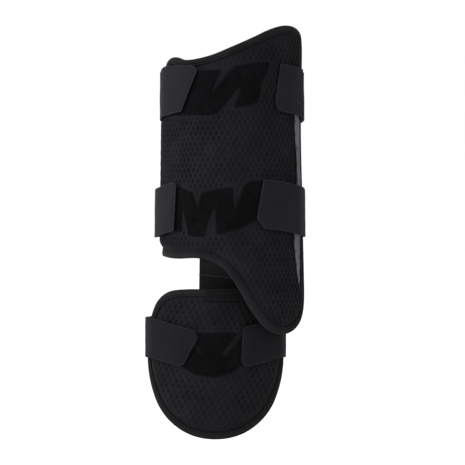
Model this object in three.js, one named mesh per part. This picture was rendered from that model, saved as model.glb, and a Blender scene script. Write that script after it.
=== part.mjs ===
// Batter leg guard: a padded shin shell and an oval instep pad, with the straps that hold them on.
// Millimetres, +Z up. The front faces -Y, and +X is to the right of someone who faces it.
// The origin is the middle of the leg hollow, halfway between the two shin straps.
// Every soft piece is cut flat and laid on the form of the leg: across runs round the leg from its
// front, up is the height, and lift is the distance out from the form.
import * as THREE from "three";
import { mergeVertices } from "three/addons/utils/BufferGeometryUtils.js";
import { TessellateModifier } from "three/addons/modifiers/TessellateModifier.js";

// Clearance between two pieces that touch, and between a tab and its hook pad
const GAP = 0.3;
const TAB_GAP = 0.5;

// The leg inside the shin shell
const LEG_HALF_WIDTH = 67.4;
const LEG_FRONT = 70;
const LEG_BACK = 56;
const LEG_TAPER = 0.025;
const LEG_BOW = 5;

// The shin shell: how far it reaches from the origin, and its padding
const SHIN_ABOVE = 119.5;
const SHIN_BELOW = 189;
const SHIN_LEFT = 117;
const SHIN_RIGHT = 90;
const SHIN_PADDING = 10;
const SHIN_RIM = 5;

// The instep inside the foot pad, and where its middle lies
const FOOT_HALF_WIDTH = 66;
const FOOT_FRONT = 44;
const FOOT_BACK = 40;
const FOOT_DOME = 9;
const FOOT_X = -18.9;
const FOOT_Y = -14;
const FOOT_Z = -221.6;

// The foot pad
const FOOT_PAD_HALF_HEIGHT = 74.4;
const FOOT_PAD_REACH = 78;
const FOOT_PADDING = 8;
const FOOT_RIM = 4;

// The edge binding, the padding's rise inside its seam, and the ribbed side strip
const BINDING_WIDTH = 6;
const BINDING_CLOTH = 1.2;
const BINDING_CROWN = 0.5;
const CROWN_SHARE = 0.45;
const PADDING_RISE = 10;
const STRIP_CLOTH = 1;

// Loop patches and the hook pads that grip them
const PATCH_PILE = 1.6;
const HOOK_THICKNESS = 1;
const UPPER_PATCH_WIDTH = 100;
const UPPER_PATCH_HEIGHT = 53;
const LOWER_PATCH_WIDTH = 130;
const LOWER_PATCH_HEIGHT = 57;
const FOOT_PATCH_WIDTH = 92;
const FOOT_PATCH_HEIGHT = 45;

// Straps
const STRAP_THICKNESS = 1.6;
const STRAP_WIDTH = 50;
const FOOT_STRAP_WIDTH = 41;
const UPPER_STRAP_UP = 55.6;
const MIDDLE_STRAP_DOWN = 61;
const FOOT_STRAP_UP = 15.6;
const STRAP_BACK_LIFT = 1.2;
const TAB_LENGTH = 36;
const TAB_TO_PATCH = 4.8;
const HOOK_WIDTH_SHARE = 0.68;
const HOOK_LENGTH = 11;

// The elastic that hangs the foot pad from the shin shell
const CONNECTOR_X = -8.3;
const CONNECTOR_WIDTH = 55.6;
const CONNECTOR_FLARE = 1.05;
const CONNECTOR_THICKNESS = 2;
const CONNECTOR_SEWN = 15;
const ANCHOR_WIDTH = 38.5;
const ANCHOR_HEIGHT = 10.5;
const ANCHOR_CLOTH = 1.2;

// Fineness of the facets
const ARC_STEPS = 720;
const OUTLINE_STEPS = 16;
const END_GRADING = 0.45;
const CLOTH_FACET = 12;
const STRAP_FACET = 10;

const { lerp, smoothstep, euclideanModulo } = THREE.MathUtils;

// Form of the leg: half an ellipse in front and another behind, with along measured round it
class LegForm {
  constructor({ halfWidth, front, back, widthAt, setAt }) {
    Object.assign(this, { halfWidth, front, back, widthAt, setAt });
    this.turns = [0];
    this.arcs = [0];
    for (let step = 1; step <= ARC_STEPS; step += 1) {
      const turn = (step / ARC_STEPS) * Math.PI;
      const middle = turn - Math.PI / ARC_STEPS / 2;
      const depth = middle < Math.PI / 2 ? front : back;
      const stretch = Math.hypot(halfWidth * Math.cos(middle), depth * Math.sin(middle));
      this.turns.push(turn);
      this.arcs.push(this.arcs[step - 1] + (stretch * Math.PI) / ARC_STEPS);
    }
    this.loop = 2 * this.arcs[ARC_STEPS];
  }

  // Along as a distance from the front, negative to the left
  signed(along) {
    return euclideanModulo(along + this.loop / 2, this.loop) - this.loop / 2;
  }

  turnAt(along) {
    const distance = Math.abs(this.signed(along));
    const found = this.arcs.findIndex((arc) => arc >= distance);
    const step = found < 1 ? 1 : found;
    const share = (distance - this.arcs[step - 1]) / (this.arcs[step] - this.arcs[step - 1]);
    return Math.sign(this.signed(along)) * lerp(this.turns[step - 1], this.turns[step], share);
  }

  place(along, up, lift) {
    const turn = this.turnAt(along);
    const depth = Math.abs(turn) <= Math.PI / 2 ? this.front : this.back;
    const out = new THREE.Vector2(Math.sin(turn) / this.halfWidth, -Math.cos(turn) / depth).normalize();
    const x = this.halfWidth * this.widthAt(up) * Math.sin(turn) + out.x * lift;
    const y = this.setAt(up) - depth * Math.cos(turn) + out.y * lift;
    return new THREE.Vector3(x, y, up);
  }
}

const shinMiddle = (SHIN_ABOVE - SHIN_BELOW) / 2;
const shinHalfHeight = (SHIN_ABOVE + SHIN_BELOW) / 2;
const shinForm = new LegForm({
  halfWidth: LEG_HALF_WIDTH,
  front: LEG_FRONT,
  back: LEG_BACK,
  widthAt: (up) => 1 - (LEG_TAPER * (up - shinMiddle)) / shinHalfHeight,
  setAt: (up) => -LEG_BOW * ((up - shinMiddle) / shinHalfHeight) ** 2,
});

// The instep's form is in the foot group's own frame, and its two ends curve back
const footForm = new LegForm({
  halfWidth: FOOT_HALF_WIDTH,
  front: FOOT_FRONT,
  back: FOOT_BACK,
  widthAt: () => 1,
  setAt: (up) => FOOT_DOME * (up / FOOT_PAD_HALF_HEIGHT) ** 2,
});
const footCentre = new THREE.Vector3(FOOT_X, FOOT_Y, FOOT_Z);

// A closed mesh from points and the corners of its quads
class Faces {
  constructor() {
    this.points = [];
    this.index = [];
  }

  add(point) {
    this.points.push(point);
    return this.points.length - 1;
  }

  // Cut along the shorter diagonal, which stays closer to a curved surface
  quad(a, b, c, d) {
    const { points } = this;
    if (points[a].distanceTo(points[c]) <= points[b].distanceTo(points[d])) this.index.push(a, b, c, a, c, d);
    else this.index.push(b, c, d, b, d, a);
  }

  geometry() {
    const geometry = new THREE.BufferGeometry().setFromPoints(this.points);
    geometry.setIndex(this.index);
    return geometry;
  }
}

// A sheet with a thickness, from rows of cells that each hold an outer and an inner point.
// Rows run downwards, and cells to the right.
function slab(rows) {
  const faces = new Faces();
  const outer = rows.map((row) => row.map((cell) => faces.add(cell.outer)));
  const inner = rows.map((row) => row.map((cell) => faces.add(cell.inner)));
  const down = rows.length - 1;
  const right = rows[0].length - 1;
  for (let j = 0; j < down; j += 1) {
    for (let i = 0; i < right; i += 1) {
      faces.quad(outer[j][i], outer[j + 1][i], outer[j + 1][i + 1], outer[j][i + 1]);
      faces.quad(inner[j][i], inner[j][i + 1], inner[j + 1][i + 1], inner[j + 1][i]);
    }
    faces.quad(outer[j][0], inner[j][0], inner[j + 1][0], outer[j + 1][0]);
    faces.quad(outer[j][right], outer[j + 1][right], inner[j + 1][right], inner[j][right]);
  }
  for (let i = 0; i < right; i += 1) {
    faces.quad(outer[0][i], outer[0][i + 1], inner[0][i + 1], inner[0][i]);
    faces.quad(outer[down][i], inner[down][i], inner[down][i + 1], outer[down][i + 1]);
  }
  return faces.geometry();
}

// A flat-cut patch laid on a form, from its corners
function patch(form, corners, lift, thickness) {
  const shape = new THREE.Shape(corners.map((corner) => new THREE.Vector2(corner.across, corner.up)));
  const flat = new THREE.ExtrudeGeometry(shape, { depth: thickness, steps: 1, bevelEnabled: false });
  flat.deleteAttribute("normal");
  flat.deleteAttribute("uv");
  const laid = mergeVertices(new TessellateModifier(CLOTH_FACET, 12).modify(flat));
  const spot = laid.getAttribute("position");
  for (let k = 0; k < spot.count; k += 1) {
    const place = form.place(spot.getX(k), spot.getY(k), lift + spot.getZ(k));
    spot.setXYZ(k, place.x, place.y, place.z);
  }
  return laid;
}

// The cut outline of a padded panel: a smooth closed curve, clockwise from its upper left corner
class Outline {
  constructor(points, corners) {
    const controls = points.map((point) => new THREE.Vector3(point.across, point.up, 0));
    const curve = new THREE.CatmullRomCurve3(controls, true, "centripetal");
    const count = points.length * OUTLINE_STEPS;
    this.samples = Array.from({ length: count + 1 }, (_, k) => curve.getPoint(k / count));
    this.arcs = [0];
    for (let k = 1; k <= count; k += 1) {
      this.arcs.push(this.arcs[k - 1] + this.samples[k].distanceTo(this.samples[k - 1]));
    }
    this.stops = [...corners.map((corner) => this.arcs[corner * OUTLINE_STEPS]), this.arcs[count]];
  }

  // The point at an arc length, with the normal that points into the panel
  at(arc) {
    const found = this.arcs.findIndex((value) => value >= arc);
    const step = found < 1 ? 1 : found;
    const from = this.samples[step - 1];
    const to = this.samples[step];
    const share = (arc - this.arcs[step - 1]) / (this.arcs[step] - this.arcs[step - 1]);
    const last = this.samples.length - 1;
    const before = this.samples[step < 2 ? last - 1 : step - 2];
    const after = this.samples[step === last ? 1 : step + 1];
    const heading = new THREE.Vector3().lerpVectors(to.clone().sub(before), after.clone().sub(from), share);
    heading.normalize();
    const point = new THREE.Vector3().lerpVectors(from, to, share);
    return { across: point.x, up: point.y, inAcross: heading.y, inUp: -heading.x };
  }

  // Points along one side between two corners, closer together at its ends
  side(number, cells) {
    return Array.from({ length: cells + 1 }, (_, k) => {
      const share = graded(k / cells);
      return this.at(lerp(this.stops[number], this.stops[number + 1], share));
    });
  }

  // Distance in from the outline, negative outside it
  inset(across, up) {
    let nearest = Infinity;
    let sign = 1;
    for (let k = 1; k < this.samples.length; k += 1) {
      const from = this.samples[k - 1];
      const to = this.samples[k];
      const run = new THREE.Vector2(to.x - from.x, to.y - from.y);
      const off = new THREE.Vector2(across - from.x, up - from.y);
      const share = THREE.MathUtils.clamp(off.dot(run) / run.lengthSq(), 0, 1);
      const distance = Math.hypot(off.x - run.x * share, off.y - run.y * share);
      if (distance < nearest) {
        nearest = distance;
        sign = off.x * run.y - off.y * run.x >= 0 ? 1 : -1;
      }
    }
    return sign * nearest;
  }
}

function graded(share) {
  return share - (END_GRADING * Math.sin(2 * Math.PI * share)) / (2 * Math.PI);
}

// A padded panel: a foam body that rises from a thin rim, and the binding that wraps the rim
class Panel {
  constructor({ form, outline, across, down, padding, rim, sideCloth }) {
    Object.assign(this, { form, outline, across, down, padding, rim, sideCloth });
    const [top, right, bottom, left] = [across, down, across, down].map((n, k) => outline.side(k, n));
    bottom.reverse();
    left.reverse();
    const backward = [...bottom.slice(0, -1).reverse(), ...left.slice(1, -1).reverse()];
    this.rimPoints = [...top, ...right.slice(1), ...backward];
    this.grid = this.fill([top, right, bottom, left].map((side) => side.map(this.seamPoint)));
  }

  seamPoint(point) {
    return {
      across: point.across + point.inAcross * BINDING_WIDTH,
      up: point.up + point.inUp * BINDING_WIDTH,
    };
  }

  // Rows of points inside the seam, blended from its four sides
  fill([top, right, bottom, left]) {
    return left.map((_, j) => top.map((__, i) => {
      const v = graded(j / this.down);
      const u = graded(i / this.across);
      const point = {};
      for (const key of ["across", "up"]) {
        const between = lerp(top[i][key], bottom[i][key], v) + lerp(left[j][key], right[j][key], u);
        const upperCorners = lerp(top[0][key], top.at(-1)[key], u);
        const lowerCorners = lerp(bottom[0][key], bottom.at(-1)[key], u);
        point[key] = between - lerp(upperCorners, lowerCorners, v);
      }
      return point;
    }));
  }

  // Lift of the padding's face
  liftAt(across, up) {
    const inset = this.outline.inset(across, up);
    return lerp(this.rim, this.padding, smoothstep(inset, BINDING_WIDTH, BINDING_WIDTH + PADDING_RISE));
  }

  // The lift of the binding's front face at its crown
  get crown() {
    return this.rim + GAP + BINDING_CLOTH + BINDING_CROWN;
  }

  // The least lift of a strap that crosses the panel here
  clearLift(across, up) {
    const inset = this.outline.inset(across, up);
    if (inset < -2 * GAP - BINDING_CLOTH) return STRAP_BACK_LIFT;
    if (inset < BINDING_WIDTH) return this.crown + GAP;
    return Math.max(this.crown, this.liftAt(across, up) + (across > 0 ? this.sideCloth : 0)) + GAP;
  }

  // Row and column of the grid's border, in the order of the rim's points
  border() {
    const spots = [];
    for (let i = 0; i <= this.across; i += 1) spots.push([0, i]);
    for (let j = 1; j <= this.down; j += 1) spots.push([j, this.across]);
    for (let i = this.across - 1; i >= 0; i -= 1) spots.push([this.down, i]);
    for (let j = this.down - 1; j >= 1; j -= 1) spots.push([j, 0]);
    return spots;
  }

  body() {
    const faces = new Faces();
    const lay = ({ across, up }, lift) => faces.add(this.form.place(across, up, lift));
    const face = this.grid.map((row) => row.map((point) => lay(point, this.liftAt(point.across, point.up))));
    const back = this.grid.map((row) => row.map((point) => lay(point, 0)));
    const rimFace = this.rimPoints.map((point) => lay(point, this.rim));
    const rimBack = this.rimPoints.map((point) => lay(point, 0));
    for (let j = 0; j < this.down; j += 1) {
      for (let i = 0; i < this.across; i += 1) {
        faces.quad(face[j][i], face[j + 1][i], face[j + 1][i + 1], face[j][i + 1]);
        faces.quad(back[j][i], back[j][i + 1], back[j + 1][i + 1], back[j + 1][i]);
      }
    }
    const border = this.border();
    border.forEach(([j, i], k) => {
      const next = (k + 1) % border.length;
      const [nextJ, nextI] = border[next];
      faces.quad(rimFace[k], face[j][i], face[nextJ][nextI], rimFace[next]);
      faces.quad(rimBack[k], rimBack[next], back[nextJ][nextI], back[j][i]);
      faces.quad(rimBack[k], rimFace[k], rimFace[next], rimBack[next]);
    });
    return faces.geometry();
  }

  // The binding's section, from its front leg round the edge to its back leg and back inside
  bindingSection() {
    const end = BINDING_WIDTH - GAP;
    const front = this.rim + GAP;
    const outside = -GAP - BINDING_CLOTH;
    return [
      { inset: end, lift: front },
      { inset: end, lift: front + BINDING_CLOTH },
      { inset: end * CROWN_SHARE, lift: front + BINDING_CLOTH + BINDING_CROWN },
      { inset: -GAP, lift: front + BINDING_CLOTH },
      { inset: outside, lift: front },
      { inset: outside, lift: -GAP },
      { inset: -GAP, lift: outside },
      { inset: end, lift: outside },
      { inset: end, lift: -GAP },
      { inset: -GAP, lift: -GAP },
      { inset: -GAP, lift: front },
    ];
  }

  binding() {
    const faces = new Faces();
    const section = this.bindingSection();
    const rings = this.rimPoints.map((point) => section.map(({ inset, lift }) => {
      const across = point.across + point.inAcross * inset;
      const up = point.up + point.inUp * inset;
      return faces.add(this.form.place(across, up, lift));
    }));
    rings.forEach((ring, k) => {
      const next = rings[(k + 1) % rings.length];
      ring.forEach((_, m) => {
        const after = (m + 1) % ring.length;
        faces.quad(ring[m], next[m], next[after], ring[after]);
      });
    });
    return faces.geometry();
  }

  // A strip that covers the grid's rightmost columns between two rows
  strip(columns, firstRow, lastRow) {
    const rows = this.grid.slice(firstRow, lastRow + 1);
    return slab(rows.map((row) => row.slice(-columns - 1).map((point) => {
      const lift = this.liftAt(point.across, point.up) + GAP;
      return {
        outer: this.form.place(point.across, point.up, lift + STRIP_CLOTH),
        inner: this.form.place(point.across, point.up, lift),
      };
    })));
  }
}

// Shin outline, clockwise from its upper left corner, as shares of the reach on that side
const shinTable = [
  { across: -0.832, up: 0.622 },
  { across: -0.742, up: 0.714 },
  { across: -0.607, up: 0.745 },
  { across: -0.488, up: 0.713 },
  { across: -0.375, up: 0.702 },
  { across: -0.192, up: 0.727 },
  { across: -0.017, up: 0.793 },
  { across: 0.215, up: 0.877 },
  { across: 0.420, up: 0.951 },
  { across: 0.623, up: 0.997 },
  { across: 0.810, up: 0.995 },
  { across: 0.948, up: 0.955 },
  { across: 0.990, up: 0.866 },
  { across: 0.985, up: 0.741 },
  { across: 0.925, up: 0.244 },
  { across: 0.922, up: -0.017 },
  { across: 0.946, up: -0.233 },
  { across: 0.962, up: -0.505 },
  { across: 0.978, up: -0.668 },
  { across: 0.975, up: -0.834 },
  { across: 0.920, up: -0.902 },
  { across: 0.833, up: -0.948 },
  { across: 0.685, up: -0.988 },
  { across: 0.529, up: -1.000 },
  { across: 0.372, up: -0.972 },
  { across: 0.234, up: -0.901 },
  { across: 0.101, up: -0.796 },
  { across: -0.021, up: -0.693 },
  { across: -0.124, up: -0.628 },
  { across: -0.274, up: -0.598 },
  { across: -0.542, up: -0.600 },
  { across: -0.735, up: -0.594 },
  { across: -0.948, up: -0.579 },
  { across: -0.992, up: -0.536 },
  { across: -1.000, up: -0.430 },
  { across: -0.996, up: -0.211 },
  { across: -0.972, up: 0.247 },
  { across: -0.925, up: 0.500 },
];
const shinCorners = [0, 11, 21, 33];
const shinHem = -0.605 * SHIN_BELOW;
const onShin = ({ across, up }) => ({
  across: across * (across < 0 ? SHIN_LEFT : SHIN_RIGHT),
  up: up * (up < 0 ? SHIN_BELOW : SHIN_ABOVE),
});

// Right half of the foot pad's outline, from the middle of its top edge to the middle of its toe
const footTable = [
  { across: 0.000, up: 1.000 },
  { across: 0.390, up: 0.998 },
  { across: 0.600, up: 0.966 },
  { across: 0.757, up: 0.856 },
  { across: 0.866, up: 0.687 },
  { across: 0.950, up: 0.455 },
  { across: 0.989, up: 0.210 },
  { across: 1.000, up: 0.026 },
  { across: 0.948, up: -0.170 },
  { across: 0.858, up: -0.376 },
  { across: 0.746, up: -0.577 },
  { across: 0.590, up: -0.758 },
  { across: 0.392, up: -0.903 },
  { across: 0.203, up: -0.977 },
  { across: 0.000, up: -1.000 },
];
const footCorner = { upper: 3, lower: 10 };
const onFoot = ({ across, up }) => ({ across: across * FOOT_PAD_REACH, up: up * FOOT_PAD_HALF_HEIGHT });

// The whole foot outline, from its upper left corner round by the right
function footOutline() {
  const mirrored = footTable.slice(1, -1).map(({ across, up }) => ({ across: -across, up })).reverse();
  const round = [...footTable, ...mirrored];
  const start = round.length - footCorner.upper;
  const turned = [...round.slice(start), ...round.slice(0, start)];
  const lowerLeft = round.length - footCorner.lower;
  const corners = [start, footCorner.upper, footCorner.lower, lowerLeft];
  return new Outline(turned.map(onFoot), corners.map((k) => euclideanModulo(k - start, round.length)));
}

const shin = new Panel({
  form: shinForm,
  outline: new Outline(shinTable.map(onShin), shinCorners),
  across: 26,
  down: 18,
  padding: SHIN_PADDING,
  rim: SHIN_RIM,
  sideCloth: GAP + STRIP_CLOTH,
});
const foot = new Panel({
  form: footForm,
  outline: footOutline(),
  across: 14,
  down: 14,
  padding: FOOT_PADDING,
  rim: FOOT_RIM,
  sideCloth: 0,
});

// Corners of the loop patches, clockwise from the upper left, as shares of each patch's size
const upperPatchTable = [
  { across: -0.500, up: 0.350 },
  { across: 0.062, up: 0.335 },
  { across: -0.032, up: -0.067 },
  { across: -0.010, up: -0.095 },
  { across: 0.158, up: 0.355 },
  { across: 0.215, up: 0.417 },
  { across: 0.333, up: 0.455 },
  { across: 0.500, up: 0.500 },
  { across: 0.478, up: 0.285 },
  { across: 0.430, up: 0.145 },
  { across: 0.391, up: -0.257 },
  { across: 0.294, up: -0.330 },
  { across: 0.176, up: -0.372 },
  { across: 0.248, up: -0.010 },
  { across: 0.214, up: 0.010 },
  { across: 0.098, up: -0.298 },
  { across: 0.018, up: -0.485 },
  { across: -0.048, up: -0.500 },
  { across: -0.500, up: -0.465 },
];
const lowerPatchTable = [
  { across: -0.500, up: 0.400 },
  { across: -0.240, up: 0.360 },
  { across: -0.152, up: 0.290 },
  { across: -0.103, up: -0.050 },
  { across: -0.080, up: 0.250 },
  { across: 0.023, up: 0.325 },
  { across: 0.137, up: 0.365 },
  { across: 0.137, up: 0.010 },
  { across: 0.158, up: -0.020 },
  { across: 0.203, up: 0.360 },
  { across: 0.253, up: 0.470 },
  { across: 0.500, up: 0.500 },
  { across: 0.500, up: -0.120 },
  { across: 0.296, up: -0.205 },
  { across: 0.203, up: -0.330 },
  { across: 0.029, up: -0.465 },
  { across: 0.020, up: -0.010 },
  { across: -0.004, up: -0.010 },
  { across: -0.057, up: -0.500 },
  { across: -0.172, up: -0.485 },
  { across: -0.220, up: -0.042 },
  { across: -0.240, up: -0.060 },
  { across: -0.242, up: -0.415 },
  { across: -0.500, up: -0.360 },
];
const footPatchTable = [
  { across: -0.500, up: 0.470 },
  { across: -0.300, up: 0.475 },
  { across: -0.176, up: 0.030 },
  { across: -0.154, up: -0.010 },
  { across: -0.128, up: 0.020 },
  { across: -0.245, up: 0.478 },
  { across: 0.222, up: 0.480 },
  { across: 0.062, up: 0.005 },
  { across: 0.074, up: -0.045 },
  { across: 0.106, up: -0.035 },
  { across: 0.272, up: 0.420 },
  { across: 0.290, up: 0.490 },
  { across: 0.500, up: 0.500 },
  { across: 0.500, up: -0.050 },
  { across: 0.296, up: -0.180 },
  { across: 0.183, up: -0.385 },
  { across: 0.000, up: -0.500 },
  { across: -0.217, up: -0.440 },
  { across: -0.317, up: -0.300 },
  { across: -0.500, up: -0.120 },
];

// Where each patch lies: the middle of its cut, on its own panel
const patches = {
  upper: {
    panel: shin,
    table: upperPatchTable,
    across: -0.154 * SHIN_LEFT,
    up: UPPER_STRAP_UP - 0.013 * UPPER_PATCH_HEIGHT,
    width: UPPER_PATCH_WIDTH,
    height: UPPER_PATCH_HEIGHT,
  },
  lower: {
    panel: shin,
    table: lowerPatchTable,
    across: -0.162 * SHIN_LEFT,
    up: -MIDDLE_STRAP_DOWN - 0.053 * LOWER_PATCH_HEIGHT,
    width: LOWER_PATCH_WIDTH,
    height: LOWER_PATCH_HEIGHT,
  },
  foot: {
    panel: foot,
    table: footPatchTable,
    across: 0,
    up: FOOT_STRAP_UP - 0.1 * FOOT_PATCH_HEIGHT,
    width: FOOT_PATCH_WIDTH,
    height: FOOT_PATCH_HEIGHT,
  },
};

function loopPatch({ panel, table, across, up, width, height }) {
  const corners = table.map((row) => ({ across: across + row.across * width, up: up + row.up * height }));
  return patch(panel.form, corners, panel.padding + GAP, PATCH_PILE);
}

// The lift of a tab over the padding, with its hook pad on the mesh or on a loop patch
const overMesh = (panel) => panel.padding + GAP + HOOK_THICKNESS + TAB_GAP;
const overPatch = (panel) => overMesh(panel) + PATCH_PILE + GAP;

// The four edges of a tab's end, from its top to its bottom, as shares of the strap's width:
// how far each lies from the middle, and how far behind the tip
const tabEnds = {
  upperRight: [
    { up: 0.476, behind: 0.118 },
    { up: 0.360, behind: 0.100 },
    { up: -0.286, behind: 0.000 },
    { up: -0.474, behind: 0.056 },
  ],
  upperLeft: [
    { up: 0.454, behind: 0.086 },
    { up: 0.342, behind: 0.000 },
    { up: -0.400, behind: 0.302 },
    { up: -0.454, behind: 0.324 },
  ],
  middleRight: [
    { up: 0.490, behind: 0.120 },
    { up: 0.114, behind: 0.060 },
    { up: -0.296, behind: 0.000 },
    { up: -0.488, behind: 0.118 },
  ],
  middleLeft: [
    { up: 0.498, behind: 0.060 },
    { up: 0.390, behind: 0.000 },
    { up: -0.374, behind: 0.046 },
    { up: -0.498, behind: 0.054 },
  ],
  footRight: [
    { up: 0.500, behind: 0.050 },
    { up: 0.300, behind: 0.036 },
    { up: -0.335, behind: 0.000 },
    { up: -0.490, behind: 0.120 },
  ],
  footLeft: [
    { up: 0.475, behind: 0.115 },
    { up: 0.320, behind: 0.000 },
    { up: -0.440, behind: 0.330 },
    { up: -0.490, behind: 0.400 },
  ],
};
const bodyEdges = [0.5, 0.3, 0, -0.3, -0.5];

// The tab's four edges with one more halfway between the middle two
function withMiddle(end) {
  const [, upper, lower] = end;
  const middle = { up: (upper.up + lower.up) / 2, behind: (upper.behind + lower.behind) / 2 };
  return end.toSpliced(2, 0, middle);
}

// A strap runs from its right tab, round the back of the leg, to its left tab. Its course gives,
// at places along the way, how far its middle rises as a share of its width, and its least lift.
class Strap {
  constructor({ panel, width, up, rightTip, leftTip, rightEnd, leftEnd, course }) {
    Object.assign(this, { panel, width, up, rightTip, leftTip, course });
    this.rightEnd = withMiddle(rightEnd);
    this.leftEnd = withMiddle(leftEnd);
  }

  courseAt(along, key) {
    const { course } = this;
    if (along <= course[0].along) return course[0][key];
    const next = course.findIndex((stop) => stop.along >= along);
    if (next < 0) return course.at(-1)[key];
    const share = (along - course[next - 1].along) / (course[next].along - course[next - 1].along);
    return lerp(course[next - 1][key], course[next][key], share);
  }

  middleUp(along) {
    return this.up + this.width * this.courseAt(along, "rise");
  }

  // The edge's distance from the strap's middle, which narrows along each tab
  edgeUp(edge, along) {
    const { loop } = this.panel.form;
    const fromRight = THREE.MathUtils.clamp((along - this.rightTip) / TAB_LENGTH, 0, 1);
    const fromLeft = THREE.MathUtils.clamp((loop - this.leftTip - along) / TAB_LENGTH, 0, 1);
    const right = lerp(this.rightEnd[edge].up, bodyEdges[edge], fromRight);
    const left = lerp(this.leftEnd[edge].up, bodyEdges[edge], fromLeft);
    return this.width * (right + left - bodyEdges[edge]);
  }

  // The strap stays flat across its width and clear of the panel under its nearby facets
  liftAt(along) {
    const { form } = this.panel;
    const middle = this.middleUp(along);
    const heights = [0.5, 0.25, 0, -0.25, -0.5].map((share) => middle + share * this.width);
    const nearby = [-0.4, 0, 0.4].map((share) => form.signed(along + share * STRAP_FACET));
    const needed = nearby.flatMap((across) => heights.map((up) => this.panel.clearLift(across, up)));
    return Math.max(this.courseAt(along, "lift"), ...needed);
  }

  geometry() {
    const { form } = this.panel;
    const stations = Math.round((form.loop - this.rightTip - this.leftTip) / STRAP_FACET);
    const rows = bodyEdges.map((_, edge) => {
      const start = this.rightTip + this.rightEnd[edge].behind * this.width;
      const finish = form.loop - this.leftTip - this.leftEnd[edge].behind * this.width;
      return Array.from({ length: stations + 1 }, (__, k) => {
        const along = lerp(start, finish, graded(k / stations));
        const up = this.middleUp(along) + this.edgeUp(edge, along);
        const lift = this.liftAt(along);
        return { outer: form.place(along, up, lift + STRAP_THICKNESS), inner: form.place(along, up, lift) };
      });
    });
    return slab(rows);
  }

  // A hook pad under one tab, behind the sloping end
  hook(side, lift) {
    const tip = side === "right" ? this.rightTip : this.leftTip;
    const end = side === "right" ? this.rightEnd : this.leftEnd;
    const near = tip + Math.max(...end.map((edge) => edge.behind)) * this.width + GAP;
    const toward = side === "right" ? 1 : -1;
    const middle = this.middleUp(side === "right" ? near : this.panel.form.loop - near);
    const half = (this.width * HOOK_WIDTH_SHARE) / 2;
    const corners = [[near, half], [near + HOOK_LENGTH, half], [near + HOOK_LENGTH, -half], [near, -half]];
    const laid = corners.map(([along, up]) => ({ across: toward * along, up: middle + up }));
    return patch(this.panel.form, laid, lift, HOOK_THICKNESS);
  }
}

// Places on a strap's course, to the right and left of the front and behind the leg
const rightOf = (share) => share * SHIN_RIGHT;
const leftOf = (share) => shinForm.loop - share * SHIN_LEFT;
const behind = shinForm.loop / 2;

const strapUpper = new Strap({
  panel: shin,
  width: STRAP_WIDTH,
  up: UPPER_STRAP_UP,
  rightTip: patches.upper.across + UPPER_PATCH_WIDTH / 2 + TAB_TO_PATCH,
  leftTip: 0.27 * SHIN_LEFT,
  rightEnd: tabEnds.upperRight,
  leftEnd: tabEnds.upperLeft,
  course: [
    { along: rightOf(0.44), rise: 0.032, lift: overMesh(shin) },
    { along: rightOf(0.70), rise: -0.016, lift: overMesh(shin) },
    { along: rightOf(0.90), rise: -0.060, lift: shin.crown + GAP },
    { along: rightOf(1.10), rise: -0.080, lift: SHIN_RIM * 0.8 },
    { along: rightOf(1.35), rise: -0.070, lift: SHIN_RIM * 0.3 },
    { along: behind, rise: 0.000, lift: STRAP_BACK_LIFT },
    { along: leftOf(1.15), rise: -0.075, lift: SHIN_RIM * 0.9 },
    { along: leftOf(0.99), rise: -0.075, lift: shin.crown + GAP },
    { along: leftOf(0.80), rise: -0.030, lift: SHIN_PADDING + GAP },
    { along: leftOf(0.61), rise: 0.000, lift: overPatch(shin) },
    { along: leftOf(0.27), rise: 0.000, lift: overPatch(shin) },
  ],
});

const strapMiddle = new Strap({
  panel: shin,
  width: STRAP_WIDTH,
  up: -MIDDLE_STRAP_DOWN,
  rightTip: patches.lower.across + 0.289 * LOWER_PATCH_WIDTH,
  leftTip: 0.265 * LOWER_PATCH_WIDTH - patches.lower.across,
  rightEnd: tabEnds.middleRight,
  leftEnd: tabEnds.middleLeft,
  course: [
    { along: rightOf(0.21), rise: 0.032, lift: overPatch(shin) },
    { along: rightOf(0.48), rise: -0.016, lift: overPatch(shin) },
    { along: rightOf(0.70), rise: -0.096, lift: overPatch(shin) },
    { along: rightOf(0.90), rise: -0.124, lift: shin.crown + GAP },
    { along: rightOf(1.10), rise: -0.136, lift: SHIN_RIM * 1.1 },
    { along: rightOf(1.35), rise: -0.140, lift: SHIN_RIM * 0.3 },
    { along: behind, rise: -0.140, lift: STRAP_BACK_LIFT },
    { along: leftOf(1.20), rise: -0.120, lift: SHIN_RIM * 1.4 },
    { along: leftOf(0.90), rise: -0.150, lift: overPatch(shin) },
    { along: leftOf(0.70), rise: -0.110, lift: overPatch(shin) },
    { along: leftOf(0.45), rise: -0.006, lift: overPatch(shin) },
  ],
});

const footSide = (share) => share * FOOT_PAD_REACH;
const footFar = (share) => footForm.loop - share * FOOT_PAD_REACH;
const strapFoot = new Strap({
  panel: foot,
  width: FOOT_STRAP_WIDTH,
  up: FOOT_STRAP_UP,
  rightTip: 0.252 * FOOT_PATCH_WIDTH,
  leftTip: 0.162 * FOOT_PATCH_WIDTH,
  rightEnd: tabEnds.footRight,
  leftEnd: tabEnds.footLeft,
  course: [
    { along: footSide(0.25), rise: 0.029, lift: overPatch(foot) },
    { along: footSide(0.76), rise: 0.259, lift: overPatch(foot) },
    { along: footSide(1.00), rise: 0.249, lift: foot.crown + GAP },
    { along: footSide(1.10), rise: 0.239, lift: FOOT_RIM * 0.7 },
    { along: footForm.loop / 2, rise: 0.220, lift: STRAP_BACK_LIFT },
    { along: footFar(1.10), rise: 0.239, lift: FOOT_RIM * 0.7 },
    { along: footFar(1.00), rise: 0.249, lift: foot.crown + GAP },
    { along: footFar(0.76), rise: 0.259, lift: overPatch(foot) },
    { along: footFar(0.20), rise: 0.000, lift: overPatch(foot) },
  ],
});

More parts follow.
